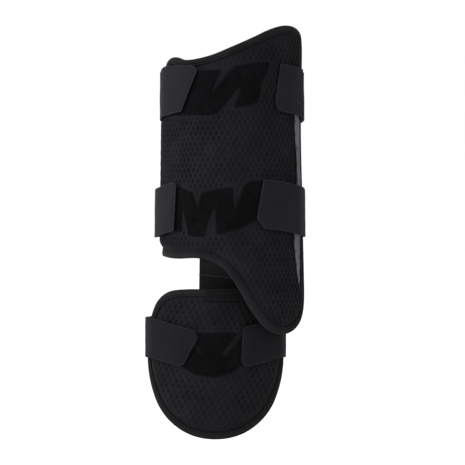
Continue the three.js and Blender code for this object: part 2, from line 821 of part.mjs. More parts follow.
// The connector leaves the inside of the shin shell and is sewn inside the foot pad's top edge
function connector() {
  const columns = 8;
  const rowCount = 12;
  const footTop = FOOT_Z + FOOT_PAD_HALF_HEIGHT;
  const clear = GAP + BINDING_CLOTH + 2 * GAP;
  const rows = Array.from({ length: rowCount + 1 }, (_, j) => {
    const up = lerp(shinHem + CONNECTOR_SEWN, footTop - CONNECTOR_SEWN, j / rowCount);
    const onFootShare = 1 - smoothstep(up, footTop + clear, shinHem - clear);
    return Array.from({ length: columns + 1 }, (__, i) => {
      const aside = (i / columns - 0.5) * CONNECTOR_WIDTH;
      const at = (lift) => {
        const above = shinForm.place((CONNECTOR_X + aside) * CONNECTOR_FLARE, up, lift);
        const below = footForm.place(CONNECTOR_X - FOOT_X + aside, up - FOOT_Z, lift).add(footCentre);
        return above.lerp(below, onFootShare);
      };
      return { outer: at(-clear), inner: at(-clear - CONNECTOR_THICKNESS) };
    });
  });
  return slab(rows);
}

// The anchor patch sews the connector's end to the front of the foot pad's top edge
function connectorAnchor() {
  const middle = CONNECTOR_X - FOOT_X;
  const top = FOOT_PAD_HALF_HEIGHT;
  const half = ANCHOR_WIDTH / 2;
  const corners = [
    { across: middle - half, up: top },
    { across: middle + half, up: top },
    { across: middle + half, up: top - ANCHOR_HEIGHT },
    { across: middle - half, up: top - ANCHOR_HEIGHT },
  ];
  return patch(footForm, corners, foot.crown + GAP, ANCHOR_CLOTH);
}

// Finishes
const finish = (color, roughness) => new THREE.MeshStandardMaterial({ color, roughness, metalness: 0 });
const finishes = {
  mesh: finish(0x1b1b1d, 0.9),
  binding: finish(0x242426, 0.75),
  strip: finish(0x4a4a4e, 0.8),
  loop: finish(0x131315, 1),
  hook: finish(0x19191b, 0.7),
  strap: finish(0x222326, 0.8),
  elastic: finish(0x202022, 0.85),
};

function piece(name, geometry, material) {
  const mesh = new THREE.Mesh(geometry, material.clone());
  mesh.name = name;
  return mesh;
}

const stripColumns = 4;
const stripRows = { first: 2, last: 14 };
const hookOnMesh = shin.padding + GAP;
const hookOnPatch = (panel) => panel.padding + GAP + PATCH_PILE + GAP;

const shinGroup = new THREE.Group();
shinGroup.add(
  piece("shin_pad", shin.body(), finishes.mesh),
  piece("shin_binding", shin.binding(), finishes.binding),
  piece("side_strip", shin.strip(stripColumns, stripRows.first, stripRows.last), finishes.strip),
  piece("loop_patch_upper", loopPatch(patches.upper), finishes.loop),
  piece("loop_patch_lower", loopPatch(patches.lower), finishes.loop),
  piece("hook_upper_right", strapUpper.hook("right", hookOnMesh), finishes.hook),
  piece("hook_upper_left", strapUpper.hook("left", hookOnPatch(shin)), finishes.hook),
  piece("hook_middle_right", strapMiddle.hook("right", hookOnPatch(shin)), finishes.hook),
  piece("hook_middle_left", strapMiddle.hook("left", hookOnPatch(shin)), finishes.hook),
  piece("strap_upper", strapUpper.geometry(), finishes.strap),
  piece("strap_middle", strapMiddle.geometry(), finishes.strap),
);

const footGroup = new THREE.Group();
footGroup.position.copy(footCentre);
footGroup.add(
  piece("foot_pad", foot.body(), finishes.mesh),
  piece("foot_binding", foot.binding(), finishes.binding),
  piece("connector_anchor", connectorAnchor(), finishes.elastic),
  piece("loop_patch_foot", loopPatch(patches.foot), finishes.loop),
  piece("hook_foot_right", strapFoot.hook("right", hookOnPatch(foot)), finishes.hook),
  piece("hook_foot_left", strapFoot.hook("left", hookOnPatch(foot)), finishes.hook),
  piece("strap_foot", strapFoot.geometry(), finishes.strap),
);

const group = new THREE.Group();
group.add(shinGroup, piece("connector", connector(), finishes.elastic), footGroup);

export default group;
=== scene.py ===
"""Batter leg guard: the fabric pads, bindings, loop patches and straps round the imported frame.

Every soft piece is cut flat and laid on the form of the leg. Across, or along on a strap, runs round
the leg from its front, up is the height, and lift is the distance out from the form. All in metres.
"""

import logging
import math
from collections.abc import Callable, Sequence
from dataclasses import dataclass, replace
from enum import Enum
from functools import cached_property

import bpy
import numpy as np
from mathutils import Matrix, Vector
from mathutils.geometry import delaunay_2d_cdt

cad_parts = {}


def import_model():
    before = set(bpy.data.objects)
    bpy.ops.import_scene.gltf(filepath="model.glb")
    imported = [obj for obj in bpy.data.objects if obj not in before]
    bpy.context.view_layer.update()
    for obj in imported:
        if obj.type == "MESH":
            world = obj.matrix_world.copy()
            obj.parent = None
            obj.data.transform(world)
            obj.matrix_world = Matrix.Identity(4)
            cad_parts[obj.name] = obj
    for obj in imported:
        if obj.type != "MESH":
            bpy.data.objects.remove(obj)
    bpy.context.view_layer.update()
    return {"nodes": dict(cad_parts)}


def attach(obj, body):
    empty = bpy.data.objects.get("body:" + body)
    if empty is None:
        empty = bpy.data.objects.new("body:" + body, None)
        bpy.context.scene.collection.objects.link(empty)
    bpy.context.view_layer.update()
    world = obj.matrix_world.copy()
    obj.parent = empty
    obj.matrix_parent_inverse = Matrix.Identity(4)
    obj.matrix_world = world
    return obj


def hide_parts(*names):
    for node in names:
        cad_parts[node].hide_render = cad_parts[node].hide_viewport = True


LOG = logging.getLogger("leg_guard")
MM = 0.001
GAP = 0.3 * MM
TAB_GAP = 0.5 * MM
BACK_LIFT = 1.2 * MM
POINTS_AT_ONCE = 3000
Array = np.ndarray


class Slot(Enum):
    """The record's material slots."""

    MESH = "mesh_padding"
    BINDING = "binding"
    RIBBED = "ribbed_elastic"
    LOOP = "loop_pile"
    STRAP = "strap"
    CONNECTOR = "connector"


class Weave(Enum):
    """How the yarns of a cloth run."""

    PLAIN = "plain"
    LENGTHWISE = "lengthwise"
    CROSSWISE = "crosswise"
    KNIT = "knit"
    PILE = "pile"
    MOULDED = "moulded"


def smoothstep(value: Array, low: float, high: float) -> Array:
    """Rise smoothly from 0 at low to 1 at high."""
    share = np.clip((value - low) / (high - low), 0.0, 1.0)
    return share * share * (3.0 - 2.0 * share)


def drift(across: Array, up: Array, wave: float, seed: int) -> Array:
    """Wander slowly over a cloth, between about -1 and 1.

    Args:
        across: Places along the cloth.
        up: Places up the cloth.
        wave: The length of the longest wave.
        seed: Which of the wanderings to take.

    Returns:
        The wander at each place.
    """
    rng = np.random.default_rng(seed)
    total = np.zeros(np.broadcast(across, up).shape)
    for share in (1.0, 0.62, 0.37, 0.21):
        heading = rng.uniform(0.0, 2.0 * math.pi)
        phase = rng.uniform(0.0, 2.0 * math.pi)
        reach = (across * math.cos(heading) + up * math.sin(heading)) / (wave * share)
        total += 0.45 * np.sin(2.0 * math.pi * reach + phase)
    return total


def level(flat: Array) -> Array:
    """Flat places as points at height 0."""
    return np.pad(flat, ((0, 0), (0, 1)))


def show(name: str, data: bpy.types.ID) -> bpy.types.Object:
    """Make an object of a mesh, a light or a camera, and put it in the scene."""
    made = bpy.data.objects.new(name, data)
    bpy.context.scene.collection.objects.link(made)
    return made


@dataclass(frozen=True)
class LegForm:
    """The leg under a pad: half an ellipse in front and another behind.

    The width shrinks upwards by the taper, and both ends are set back by the bow.
    """

    half_width: float
    front: float
    back: float
    taper: float
    bow: float
    middle: float
    half_height: float
    origin: tuple[float, float, float]
    steps: int = 720

    @cached_property
    def turns(self) -> Array:
        """Angles from the front to the middle of the back."""
        return np.linspace(0.0, math.pi, self.steps + 1)

    @cached_property
    def arcs(self) -> Array:
        """The distance round the form to each angle."""
        middle = (self.turns[1:] + self.turns[:-1]) / 2.0
        depth = np.where(middle < math.pi / 2.0, self.front, self.back)
        stretch = np.hypot(self.half_width * np.cos(middle), depth * np.sin(middle))
        return np.concatenate([[0.0], np.cumsum(stretch * math.pi / self.steps)])

    @property
    def loop(self) -> float:
        """The distance all round."""
        return 2.0 * float(self.arcs[-1])

    def signed(self, along: Array) -> Array:
        """Along as a distance from the front, negative to the left."""
        return (along + self.loop / 2.0) % self.loop - self.loop / 2.0

    def facing(self, along: Array) -> Array:
        """The direction straight out of the form."""
        turn, depth = self._turn(along)
        out = np.stack([np.sin(turn) / self.half_width, -np.cos(turn) / depth, 0.0 * turn], -1)
        return out / np.linalg.norm(out, axis=-1, keepdims=True)

    def _turn(self, along: Array) -> tuple[Array, Array]:
        """The angle from the front, and the depth of the ellipse there."""
        signed = self.signed(np.asarray(along, float))
        turn = np.sign(signed) * np.interp(np.abs(signed), self.arcs, self.turns)
        return turn, np.where(np.abs(turn) <= math.pi / 2.0, self.front, self.back)

    def place(self, along: Array, up: Array, lift: Array) -> Array:
        """Points in space of places on the form.

        Args:
            along: Distances round the form from its front.
            up: Heights, from the form's own origin.
            lift: Distances out from the form.

        Returns:
            The points, with x, y and z in the last axis.
        """
        along, up, lift = np.broadcast_arrays(np.asarray(along, float), up, lift)
        turn, depth = self._turn(along)
        share = (up - self.middle) / self.half_height
        x = self.half_width * (1.0 - self.taper * share) * np.sin(turn)
        y = self.bow * share**2 - depth * np.cos(turn)
        bare = np.stack([x, y, up], -1)
        return bare + self.facing(along) * lift[..., None] + np.array(self.origin)


class Outline:
    """A closed line on flat cloth, with the distance in from it."""

    def __init__(self, points: Array) -> None:
        """Keep the line, turned clockwise.

        Args:
            points: The line's corners or samples, without the first one again at the end.
        """
        after = np.roll(points, -1, 0)
        area = np.sum(points[:, 0] * after[:, 1] - after[:, 0] * points[:, 1]) / 2.0
        self.points = points[::-1].copy() if area > 0.0 else points
        self.area = abs(float(area))
        closed = np.vstack([self.points, self.points[:1]])
        self.runs = np.diff(closed, axis=0)
        self.arcs = np.concatenate([[0.0], np.cumsum(np.linalg.norm(self.runs, axis=1))])

    @classmethod
    def smooth(cls, controls: Array, steps: int = 16) -> "Outline":
        """Run a smooth closed curve through controls.

        Args:
            controls: The points that it passes through.
            steps: Samples from each control to the next.

        Returns:
            The outline.
        """
        p0, p1 = np.roll(controls, 1, 0), controls
        p2, p3 = np.roll(controls, -1, 0), np.roll(controls, -2, 0)
        d0, d1, d2 = (
            np.sqrt(np.linalg.norm(b - a, axis=1))[:, None] for a, b in ((p0, p1), (p1, p2), (p2, p3))
        )
        start = ((p1 - p0) / d0 - (p2 - p0) / (d0 + d1) + (p2 - p1) / d1) * d1
        finish = ((p2 - p1) / d1 - (p3 - p1) / (d1 + d2) + (p3 - p2) / d2) * d1
        share = (np.arange(steps) / steps)[None, :, None]
        p1, p2, start, finish = (a[:, None, :] for a in (p1, p2, start, finish))
        square = -3.0 * p1 + 3.0 * p2 - 2.0 * start - finish
        cube = 2.0 * p1 - 2.0 * p2 + start + finish
        return cls((p1 + start * share + square * share**2 + cube * share**3).reshape(-1, 2))

    @classmethod
    def rounded(cls, corners: Array, radius: float, step: float) -> "Outline":
        """Join corners by straight lines and round each corner off.

        Args:
            corners: The corners, in order.
            radius: How far from a corner its rounding starts, at most.
            step: The distance between samples.

        Returns:
            The outline.
        """
        line = []
        for k, corner in enumerate(corners):
            before, after = corners[k - 1] - corner, corners[(k + 1) % len(corners)] - corner
            reach = min(radius, 0.45 * np.linalg.norm(before), 0.45 * np.linalg.norm(after))
            enter = corner + before / np.linalg.norm(before) * reach
            leave = corner + after / np.linalg.norm(after) * reach
            for share in np.linspace(0.0, 1.0, 5)[:, None]:
                near = enter + share * (corner - enter)
                line.append(near + share * (corner + share * (leave - corner) - near))
        return cls(np.array(line).reshape(-1, 2)).even(step)

    @property
    def length(self) -> float:
        """The distance round the outline."""
        return float(self.arcs[-1])

    def at(self, arcs: Array) -> tuple[Array, Array]:
        """Points at distances round the outline, and the directions that point into the cloth.

        Args:
            arcs: Distances round the outline, from its first point.

        Returns:
            The points, and the directions.
        """
        arcs = np.asarray(arcs) % self.length
        closed = np.vstack([self.points, self.points[:1]])
        heading = np.roll(self.points, -1, 0) - np.roll(self.points, 1, 0)
        heading = np.vstack([heading, heading[:1]])
        point = np.stack([np.interp(arcs, self.arcs, closed[:, k]) for k in (0, 1)], -1)
        turned = np.stack([np.interp(arcs, self.arcs, heading[:, k]) for k in (0, 1)], -1)
        turned /= np.linalg.norm(turned, axis=1)[:, None]
        return point, np.stack([turned[:, 1], -turned[:, 0]], -1)

    def even(self, step: float) -> "Outline":
        """The same line with samples at even distances."""
        count = max(8, round(self.length / step))
        return Outline(self.at(np.arange(count) * self.length / count)[0])

    def ring(self, inset: float, step: float) -> Array:
        """Points at a distance in from the outline, without those that corners push together.

        Args:
            inset: How far in the points lie.
            step: The distance from one to the next.

        Returns:
            The points.
        """
        count = max(8, round(self.length / step))
        point, inward = self.at((np.arange(count) + 0.5) * self.length / count)
        moved = point + inward * inset
        return moved[self.inset(moved) > inset - 0.02 * step - 1e-6]

    def inset(self, points: Array) -> Array:
        """How far in from the outline points are, negative outside it.

        Args:
            points: Flat places.

        Returns:
            The distance of each one to the outline.
        """
        result = np.empty(len(points))
        size = np.maximum(np.sum(self.runs**2, axis=1), 1e-18)
        for first in range(0, len(points), POINTS_AT_ONCE):
            part = slice(first, first + POINTS_AT_ONCE)
            off = points[part, None, :] - self.points[None]
            share = np.clip(np.sum(off * self.runs, axis=2) / size, 0.0, 1.0)
            distance = np.sum((off - self.runs * share[..., None]) ** 2, axis=2)
            nearest = distance.argmin(1)
            row = np.arange(len(nearest))
            away, run = off[row, nearest], self.runs[nearest]
            turn = away[:, 0] * run[:, 1] - away[:, 1] * run[:, 0]
            reach = np.sqrt(distance[row, nearest])
            result[part] = np.where(turn >= 0.0, reach, -reach)
        return result

    def lattice(self, pitch: float, row_pitch: float, margin: float) -> Array:
        """Staggered rows of points that lie at least a margin inside.

        Args:
            pitch: The distance between the points of a row.
            row_pitch: The distance between rows.
            margin: The least distance in from the outline.

        Returns:
            The points.
        """
        low, high = self.points.min(0), self.points.max(0)
        rows = np.arange(math.floor(low[1] / row_pitch), math.ceil(high[1] / row_pitch) + 1)
        columns = np.arange(math.floor(low[0] / pitch) - 1, math.ceil(high[0] / pitch) + 1)
        column, row = (a.ravel() for a in np.meshgrid(columns, rows))
        points = np.stack([(column + 0.5 * (row % 2)) * pitch, row * row_pitch], -1)
        return points[self.inset(points) > margin]


@dataclass
class Facets:
    """A flat outline filled with triangles, with the number of each of its border's points."""

    points: Array
    triangles: Array
    border: Array

    @classmethod
    def fill(cls, outline: Outline, inner: Array) -> "Facets":
        """Fill an outline through the points inside it.

        Args:
            outline: The outline.
            inner: Points inside it.

        Returns:
            The filled outline.
        """
        count = len(outline.points)
        flat = np.vstack([outline.points, inner]) / MM
        edges = [(k, (k + 1) % count) for k in range(count)]
        found, _, faces, sources, _, _ = delaunay_2d_cdt([Vector(p) for p in flat], edges, [], 1, 1e-6)
        place = {source: k for k, group in enumerate(sources) for source in group}
        points = np.array([(p.x, p.y) for p in found]) * MM
        return cls(points, np.array(faces), np.array([place[k] for k in range(count)]))


class Piece:
    """A mesh in the making: its points, faces, flat places and attributes."""

    def __init__(self, name: str) -> None:
        """Start an empty mesh under a name.

        Args:
            name: The piece's name.
        """
        self.name = name
        self.points: list[Array] = []
        self.flat: list[Array] = []
        self.faces: list[tuple[int, ...]] = []
        self.count = 0
        self.values: dict[str, list[Array]] = {}

    def add(self, points: Array, flat: Array, **values: Array) -> int:
        """Add points with their flat places and attributes.

        Args:
            points: The points in space.
            flat: Their places on the flat cloth.
            values: A value for each point, by the attribute's name.

        Returns:
            The number of the first point.
        """
        first = self.count
        self.points.append(points.reshape(-1, 3))
        self.flat.append(flat.reshape(-1, 2))
        self.count += len(self.points[-1])
        for key, value in values.items():
            self.values.setdefault(key, []).append(np.asarray(value, float))
        return first

    def join(self, facets: Facets, first: int, outwards: bool = True) -> None:
        """Add the triangles of a filled outline whose points start at a number."""
        triangles = facets.triangles if outwards else facets.triangles[:, ::-1]
        self.faces.extend(map(tuple, (triangles + first).tolist()))

    def wall(self, upper: Array, lower: Array) -> None:
        """Join two clockwise rings of point numbers by a wall that faces away from them."""
        for a, b, c, d in zip(upper, np.roll(upper, -1), np.roll(lower, -1), lower):
            self.faces.append((int(a), int(b), int(c), int(d)))

    def tube(self, rings: int, sides: int, first: int = 0) -> None:
        """Join a closed row of rings into a ring-shaped tube.

        Args:
            rings: How many rings there are.
            sides: How many points each ring has.
            first: The number of the first point.
        """
        for k in range(rings):
            near, far = first + k * sides, first + (k + 1) % rings * sides
            for m in range(sides):
                after = (m + 1) % sides
                self.faces.append((near + m, far + m, far + after, near + after))

    def build(self) -> bpy.types.Object:
        """Make the object, smooth and at the origin."""
        mesh = bpy.data.meshes.new(self.name)
        mesh.from_pydata(np.vstack(self.points).tolist(), [], self.faces)
        corner = np.empty(len(mesh.loops), np.int32)
        mesh.loops.foreach_get("vertex_index", corner)
        layer = mesh.uv_layers.new(name="flat")
        layer.data.foreach_set("uv", np.vstack(self.flat)[corner].astype(np.float32).ravel())
        for key, parts in self.values.items():
            value = np.concatenate(parts)
            kind, field = ("FLOAT", "value") if value.ndim == 1 else ("FLOAT_VECTOR", "vector")
            attribute = mesh.attributes.new(key, kind, "POINT")
            attribute.data.foreach_set(field, value.astype(np.float32).ravel())
        mesh.shade_smooth()
        return show(self.name, mesh)


Socket = bpy.types.NodeSocket
Value = float | tuple | Socket


class Nodes:
    """A node tree in the making, for a finish or for geometry."""

    def __init__(self, tree: bpy.types.NodeTree, prefix: str) -> None:
        """Write into a tree whose own nodes have a prefix, ShaderNode or GeometryNode."""
        self.tree = tree
        self.prefix = prefix

    def add(
        self, kind: str, inputs: dict[str | int, Value] | None = None, **settings: object
    ) -> bpy.types.Node:
        """Add a node.

        Args:
            kind: Its type, without the tree's prefix where it has that one.
            inputs: A value or a socket for each input, by name or number.
            settings: The node's own options.

        Returns:
            The node.
        """
        full = kind if kind.startswith(("ShaderNode", "FunctionNode", "NodeGroup")) else self.prefix + kind
        node = self.tree.nodes.new(full)
        for key, value in settings.items():
            setattr(node, key, value)
        for key, value in (inputs or {}).items():
            self.feed(node.inputs[key], value)
        return node

    def feed(self, socket: Socket, value: Value) -> None:
        """Link a socket to another, or set its value.

        Args:
            socket: The input.
            value: An output to link to it, or its value.
        """
        if isinstance(value, bpy.types.NodeSocket):
            self.tree.links.new(value, socket)
        else:
            socket.default_value = value

    def math(self, operation: str, first: Value, second: Value = 0.0, third: Value = 0.0) -> Socket:
        """The result of one step of arithmetic.

        Args:
            operation: The operation, as the Math node names it.
            first: The first value.
            second: The second value.
            third: The third value, for an operation that takes one.

        Returns:
            The result's socket.
        """
        node = self.add("ShaderNodeMath", operation=operation)
        for socket, value in zip(node.inputs, (first, second, third)):
            self.feed(socket, value)
        return node.outputs[0]

    def ease(self, value: Value, low: Value, high: Value, start: Value, finish: Value) -> Socket:
        """Go smoothly from a start to a finish while a value goes from low to high.

        Args:
            value: The value.
            low: Where the change begins.
            high: Where it ends.
            start: The result below low.
            finish: The result above high.

        Returns:
            The result's socket.
        """
        node = self.add("ShaderNodeMapRange", interpolation_type="SMOOTHSTEP")
        names = ("Value", "From Min", "From Max", "To Min", "To Max")
        for name, given in zip(names, (value, low, high, start, finish)):
            self.feed(node.inputs[name], given)
        return node.outputs["Result"]


@dataclass(frozen=True)
class PaintedLight:
    """Painted shade where the factor is below 1 and painted highlight where it is above: the colour scaled
    where an attribute of the piece is high.
    """

    attribute: str
    shade: float


@dataclass(frozen=True)
class Finish:
    """A finish: its colour, gloss and weave, and how its shade varies, with random patches and with painted
    shade and highlight.
    """

    name: str
    colour: tuple[float, float, float]
    weave: Weave
    pitch: float
    relief: float
    roughness: float = 0.9
    specular: float = 0.04
    sheen: float = 0.015
    sheen_roughness: float = 0.4
    mottle: float = 0.18
    painted_lights: tuple[PaintedLight, ...] = ()
    patches_per_metre: float = 45.0
    # How far the weave's hollows are darkened and its crowns lightened: painted shade and painted light
    painted_hollow_shade: float = 0.28
    yarn_height: float = 0.3
    yarn_base: float = 0.2
    fuzz_height: float = 0.6
    fuzz_per_pitch: float = 1.6
    loop_pitch: float = 0.8
    loop_sway: float = 1.4
    bump: float = 0.8

    def height(self, nodes: Nodes) -> Socket:
        """The height of the weave, from about 0 to 1.

        Args:
            nodes: The material's tree.

        Returns:
            The height's socket.
        """
        place = nodes.add("TexCoord").outputs["UV"]
        split = nodes.add("SeparateXYZ", {0: place})
        turn = 2.0 * math.pi / self.pitch
        u, v = (nodes.math("MULTIPLY", split.outputs[k], turn) for k in (0, 1))
        noise = {"Vector": place, "Scale": self.fuzz_per_pitch / self.pitch, "Detail": 3.0}
        fuzz = nodes.add("TexNoise", noise).outputs[0]
        if self.weave in (Weave.PILE, Weave.MOULDED):
            return fuzz
        if self.weave is Weave.KNIT:
            sway = nodes.math("SINE", nodes.math("MULTIPLY", v, self.loop_pitch))
            u = nodes.math("ADD", u, nodes.math("MULTIPLY", sway, self.loop_sway))
        wave = nodes.math("SINE", v if self.weave is Weave.LENGTHWISE else u)
        if self.weave is Weave.PLAIN:
            wave = nodes.math("MULTIPLY", wave, nodes.math("SINE", v))
        yarns = nodes.math("MULTIPLY_ADD", wave, self.yarn_height, self.yarn_base)
        return nodes.math("ADD", yarns, nodes.math("MULTIPLY", fuzz, self.fuzz_height))

    def shade(self, nodes: Nodes, height: Socket) -> Socket:
        """The share of the full colour: slow patches, painted shade in the weave's hollows with painted
        light on its crowns, and the painted shade and highlight of the listed attributes.

        Args:
            nodes: The material's tree.
            height: The height of the weave.

        Returns:
            The share's socket.
        """
        place = nodes.add("TexCoord").outputs["Object"]
        noise = {"Vector": place, "Scale": self.patches_per_metre, "Detail": 4.0}
        patches = nodes.add("TexNoise", noise).outputs[0]
        shade = nodes.ease(patches, 0.3, 0.7, 1.0 - self.mottle, 1.0 + self.mottle)
        # Painted shade in the weave's hollows and painted light on its crowns, from the height of the weave
        hollows = nodes.ease(height, 0.0, 1.0, 1.0 - self.painted_hollow_shade, 1.0 + self.painted_hollow_shade)
        shade = nodes.math("MULTIPLY", shade, hollows)
        # Each listed attribute paints shade into the dimples and the rib grooves, and a highlight along the
        # strap rims
        for painted_light in self.painted_lights:
            strength = nodes.add("Attribute", attribute_name=painted_light.attribute).outputs["Fac"]
            factor = nodes.ease(strength, 0.0, 1.0, 1.0, painted_light.shade)
            shade = nodes.math("MULTIPLY", shade, factor)
        return shade

    @cached_property
    def material(self) -> bpy.types.Material:
        """The Blender material, made once."""
        material = bpy.data.materials.new(self.name)
        material.use_nodes = True
        material.node_tree.nodes.clear()
        nodes = Nodes(material.node_tree, "ShaderNode")
        height = self.height(nodes)
        colour = nodes.add("VectorMath", {0: self.colour}, operation="SCALE")
        nodes.feed(colour.inputs["Scale"], self.shade(nodes, height))
        bump = nodes.add("Bump", {"Height": height, "Distance": self.relief, "Strength": self.bump})
        shader = nodes.add(
            "BsdfPrincipled",
            {
                "Base Color": colour.outputs[0],
                "Roughness": self.roughness,
                "Specular IOR Level": self.specular,
                "Sheen Weight": self.sheen,
                "Sheen Roughness": self.sheen_roughness,
                "Normal": bump.outputs[0],
            },
        )
        nodes.add("OutputMaterial", {"Surface": shader.outputs[0]})
        material.diffuse_color = (*self.colour, 1.0)
        return material


MESH = Finish(
    "air_mesh",
    (0.0075, 0.0075, 0.0086),
    Weave.KNIT,
    0.9 * MM,
    0.12 * MM,
    # The sink darkens the mesh in its dimples: painted shade in the hollows
    painted_lights=(PaintedLight("sink", 0.66),),
)
BINDING = Finish(
    "stretch_binding", (0.0088, 0.0088, 0.0098), Weave.KNIT, 0.6 * MM, 0.05 * MM, roughness=0.8
)
THREAD = Finish(
    "thread", (0.02, 0.02, 0.023), Weave.PLAIN, 0.3 * MM, 0.03 * MM, roughness=0.6, specular=0.1
)
PALE_THREAD = Finish("pale_thread", (0.05, 0.05, 0.054), Weave.PLAIN, 0.3 * MM, 0.03 * MM, roughness=0.6)
RIBBED = Finish(
    "ribbed_elastic",
    (0.085, 0.085, 0.094),
    Weave.LENGTHWISE,
    0.5 * MM,
    0.05 * MM,
    roughness=0.7,
    specular=0.1,
    # The hollow darkens the grooves between the ribs: painted shade
    painted_lights=(PaintedLight("hollow", 0.3),),
)
LOOP = Finish(
    "loop_pile",
    (0.0042, 0.0042, 0.0049),
    Weave.PILE,
    0.8 * MM,
    0.25 * MM,
    roughness=1.0,
    specular=0.02,
    mottle=0.2,
)
STRAP = Finish(
    "brushed_elastic",
    (0.0086, 0.0088, 0.0102),
    Weave.PLAIN,
    0.8 * MM,
    0.06 * MM,
    roughness=0.8,
    mottle=0.08,
    # The edge lightens the strap along its rim: a painted highlight on its rounded edges
    painted_lights=(PaintedLight("edge", 1.7),),
)
# A darker copy of the strap finish for the foot strap: painted shade, as less light reaches the strap low
# on the foot
STRAP_IN_PAINTED_SHADE = replace(STRAP, name="brushed_elastic_foot", colour=(0.0066, 0.0068, 0.0078))
ELASTIC = Finish(
    "woven_elastic", (0.0063, 0.0063, 0.0072), Weave.CROSSWISE, 1.1 * MM, 0.12 * MM, mottle=0.1
)
ANCHOR = replace(ELASTIC, name="anchor_cloth", colour=(0.0050, 0.0050, 0.0057), pitch=0.8 * MM)
HOOKS = Finish("hook_tape", (0.006, 0.006, 0.007), Weave.MOULDED, 1.0 * MM, 0.2 * MM, roughness=0.6)


def finish_piece(piece: bpy.types.Object, finish: Finish, slot: Slot, *nodes: str) -> bpy.types.Object:
    """Give a piece its finish, ride it on the guard, and say what it stands for.

    Args:
        piece: The piece.
        finish: Its finish.
        slot: The record's slot; not used.
        nodes: The solids that it replaces.

    Returns:
        The piece.
    """
    piece.data.materials.clear()
    piece.data.materials.append(finish.material)
    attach(piece, "root")
    if nodes:
        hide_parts(*nodes)
    LOG.info("%s: %d faces, for %s", piece.name, len(piece.data.polygons), ", ".join(nodes) or "detail")
    return piece


class GeometryTree:
    """A geometry tree with named inputs, whose result becomes a piece's plain mesh."""

    def __init__(self, name: str, inputs: dict[str, str]) -> None:
        """Start a tree.

        Args:
            name: The tree's name.
            inputs: The socket type of each named input, after the geometry.
        """
        self.group = bpy.data.node_groups.new(name, "GeometryNodeTree")
        face = self.group.interface
        face.new_socket("Geometry", in_out="INPUT", socket_type="NodeSocketGeometry")
        for key, kind in inputs.items():
            face.new_socket(key, in_out="INPUT", socket_type="NodeSocket" + kind)
        face.new_socket("Geometry", in_out="OUTPUT", socket_type="NodeSocketGeometry")
        self.nodes = Nodes(self.group, "GeometryNode")
        self.given = self.nodes.add("NodeGroupInput").outputs

    def end(self, geometry: Socket) -> "GeometryTree":
        """Realize the instances, set the material and close the tree.

        Args:
            geometry: The geometry that the tree gives.

        Returns:
            The tree itself.
        """
        real = self.nodes.add("RealizeInstances", {0: geometry})
        smooth = self.nodes.add("SetShadeSmooth", {"Geometry": real.outputs[0]})
        dressed = self.nodes.add(
            "SetMaterial", {"Geometry": smooth.outputs[0], "Material": self.given["Material"]}
        )
        self.nodes.add("NodeGroupOutput", {0: dressed.outputs[0]})
        return self

    def run(self, piece: bpy.types.Object, **values: object) -> bpy.types.Object:
        """Put a piece through the tree, and give it the result as its mesh.

        Args:
            piece: The piece.
            values: A value for each named input.

        Returns:
            The piece.
        """
        modifier = piece.modifiers.new(self.group.name, "NODES")
        modifier.node_group = self.group
        for item in self.group.interface.items_tree:
            if item.in_out == "INPUT" and item.name in values:
                modifier[item.identifier] = values[item.name]
        seen = bpy.context.evaluated_depsgraph_get()
        made = bpy.data.meshes.new_from_object(
            piece.evaluated_get(seen), preserve_all_data_layers=True, depsgraph=seen
        )
        piece.modifiers.clear()
        old, piece.data = piece.data, made
        made.name = piece.name
        bpy.data.meshes.remove(old)
        return piece


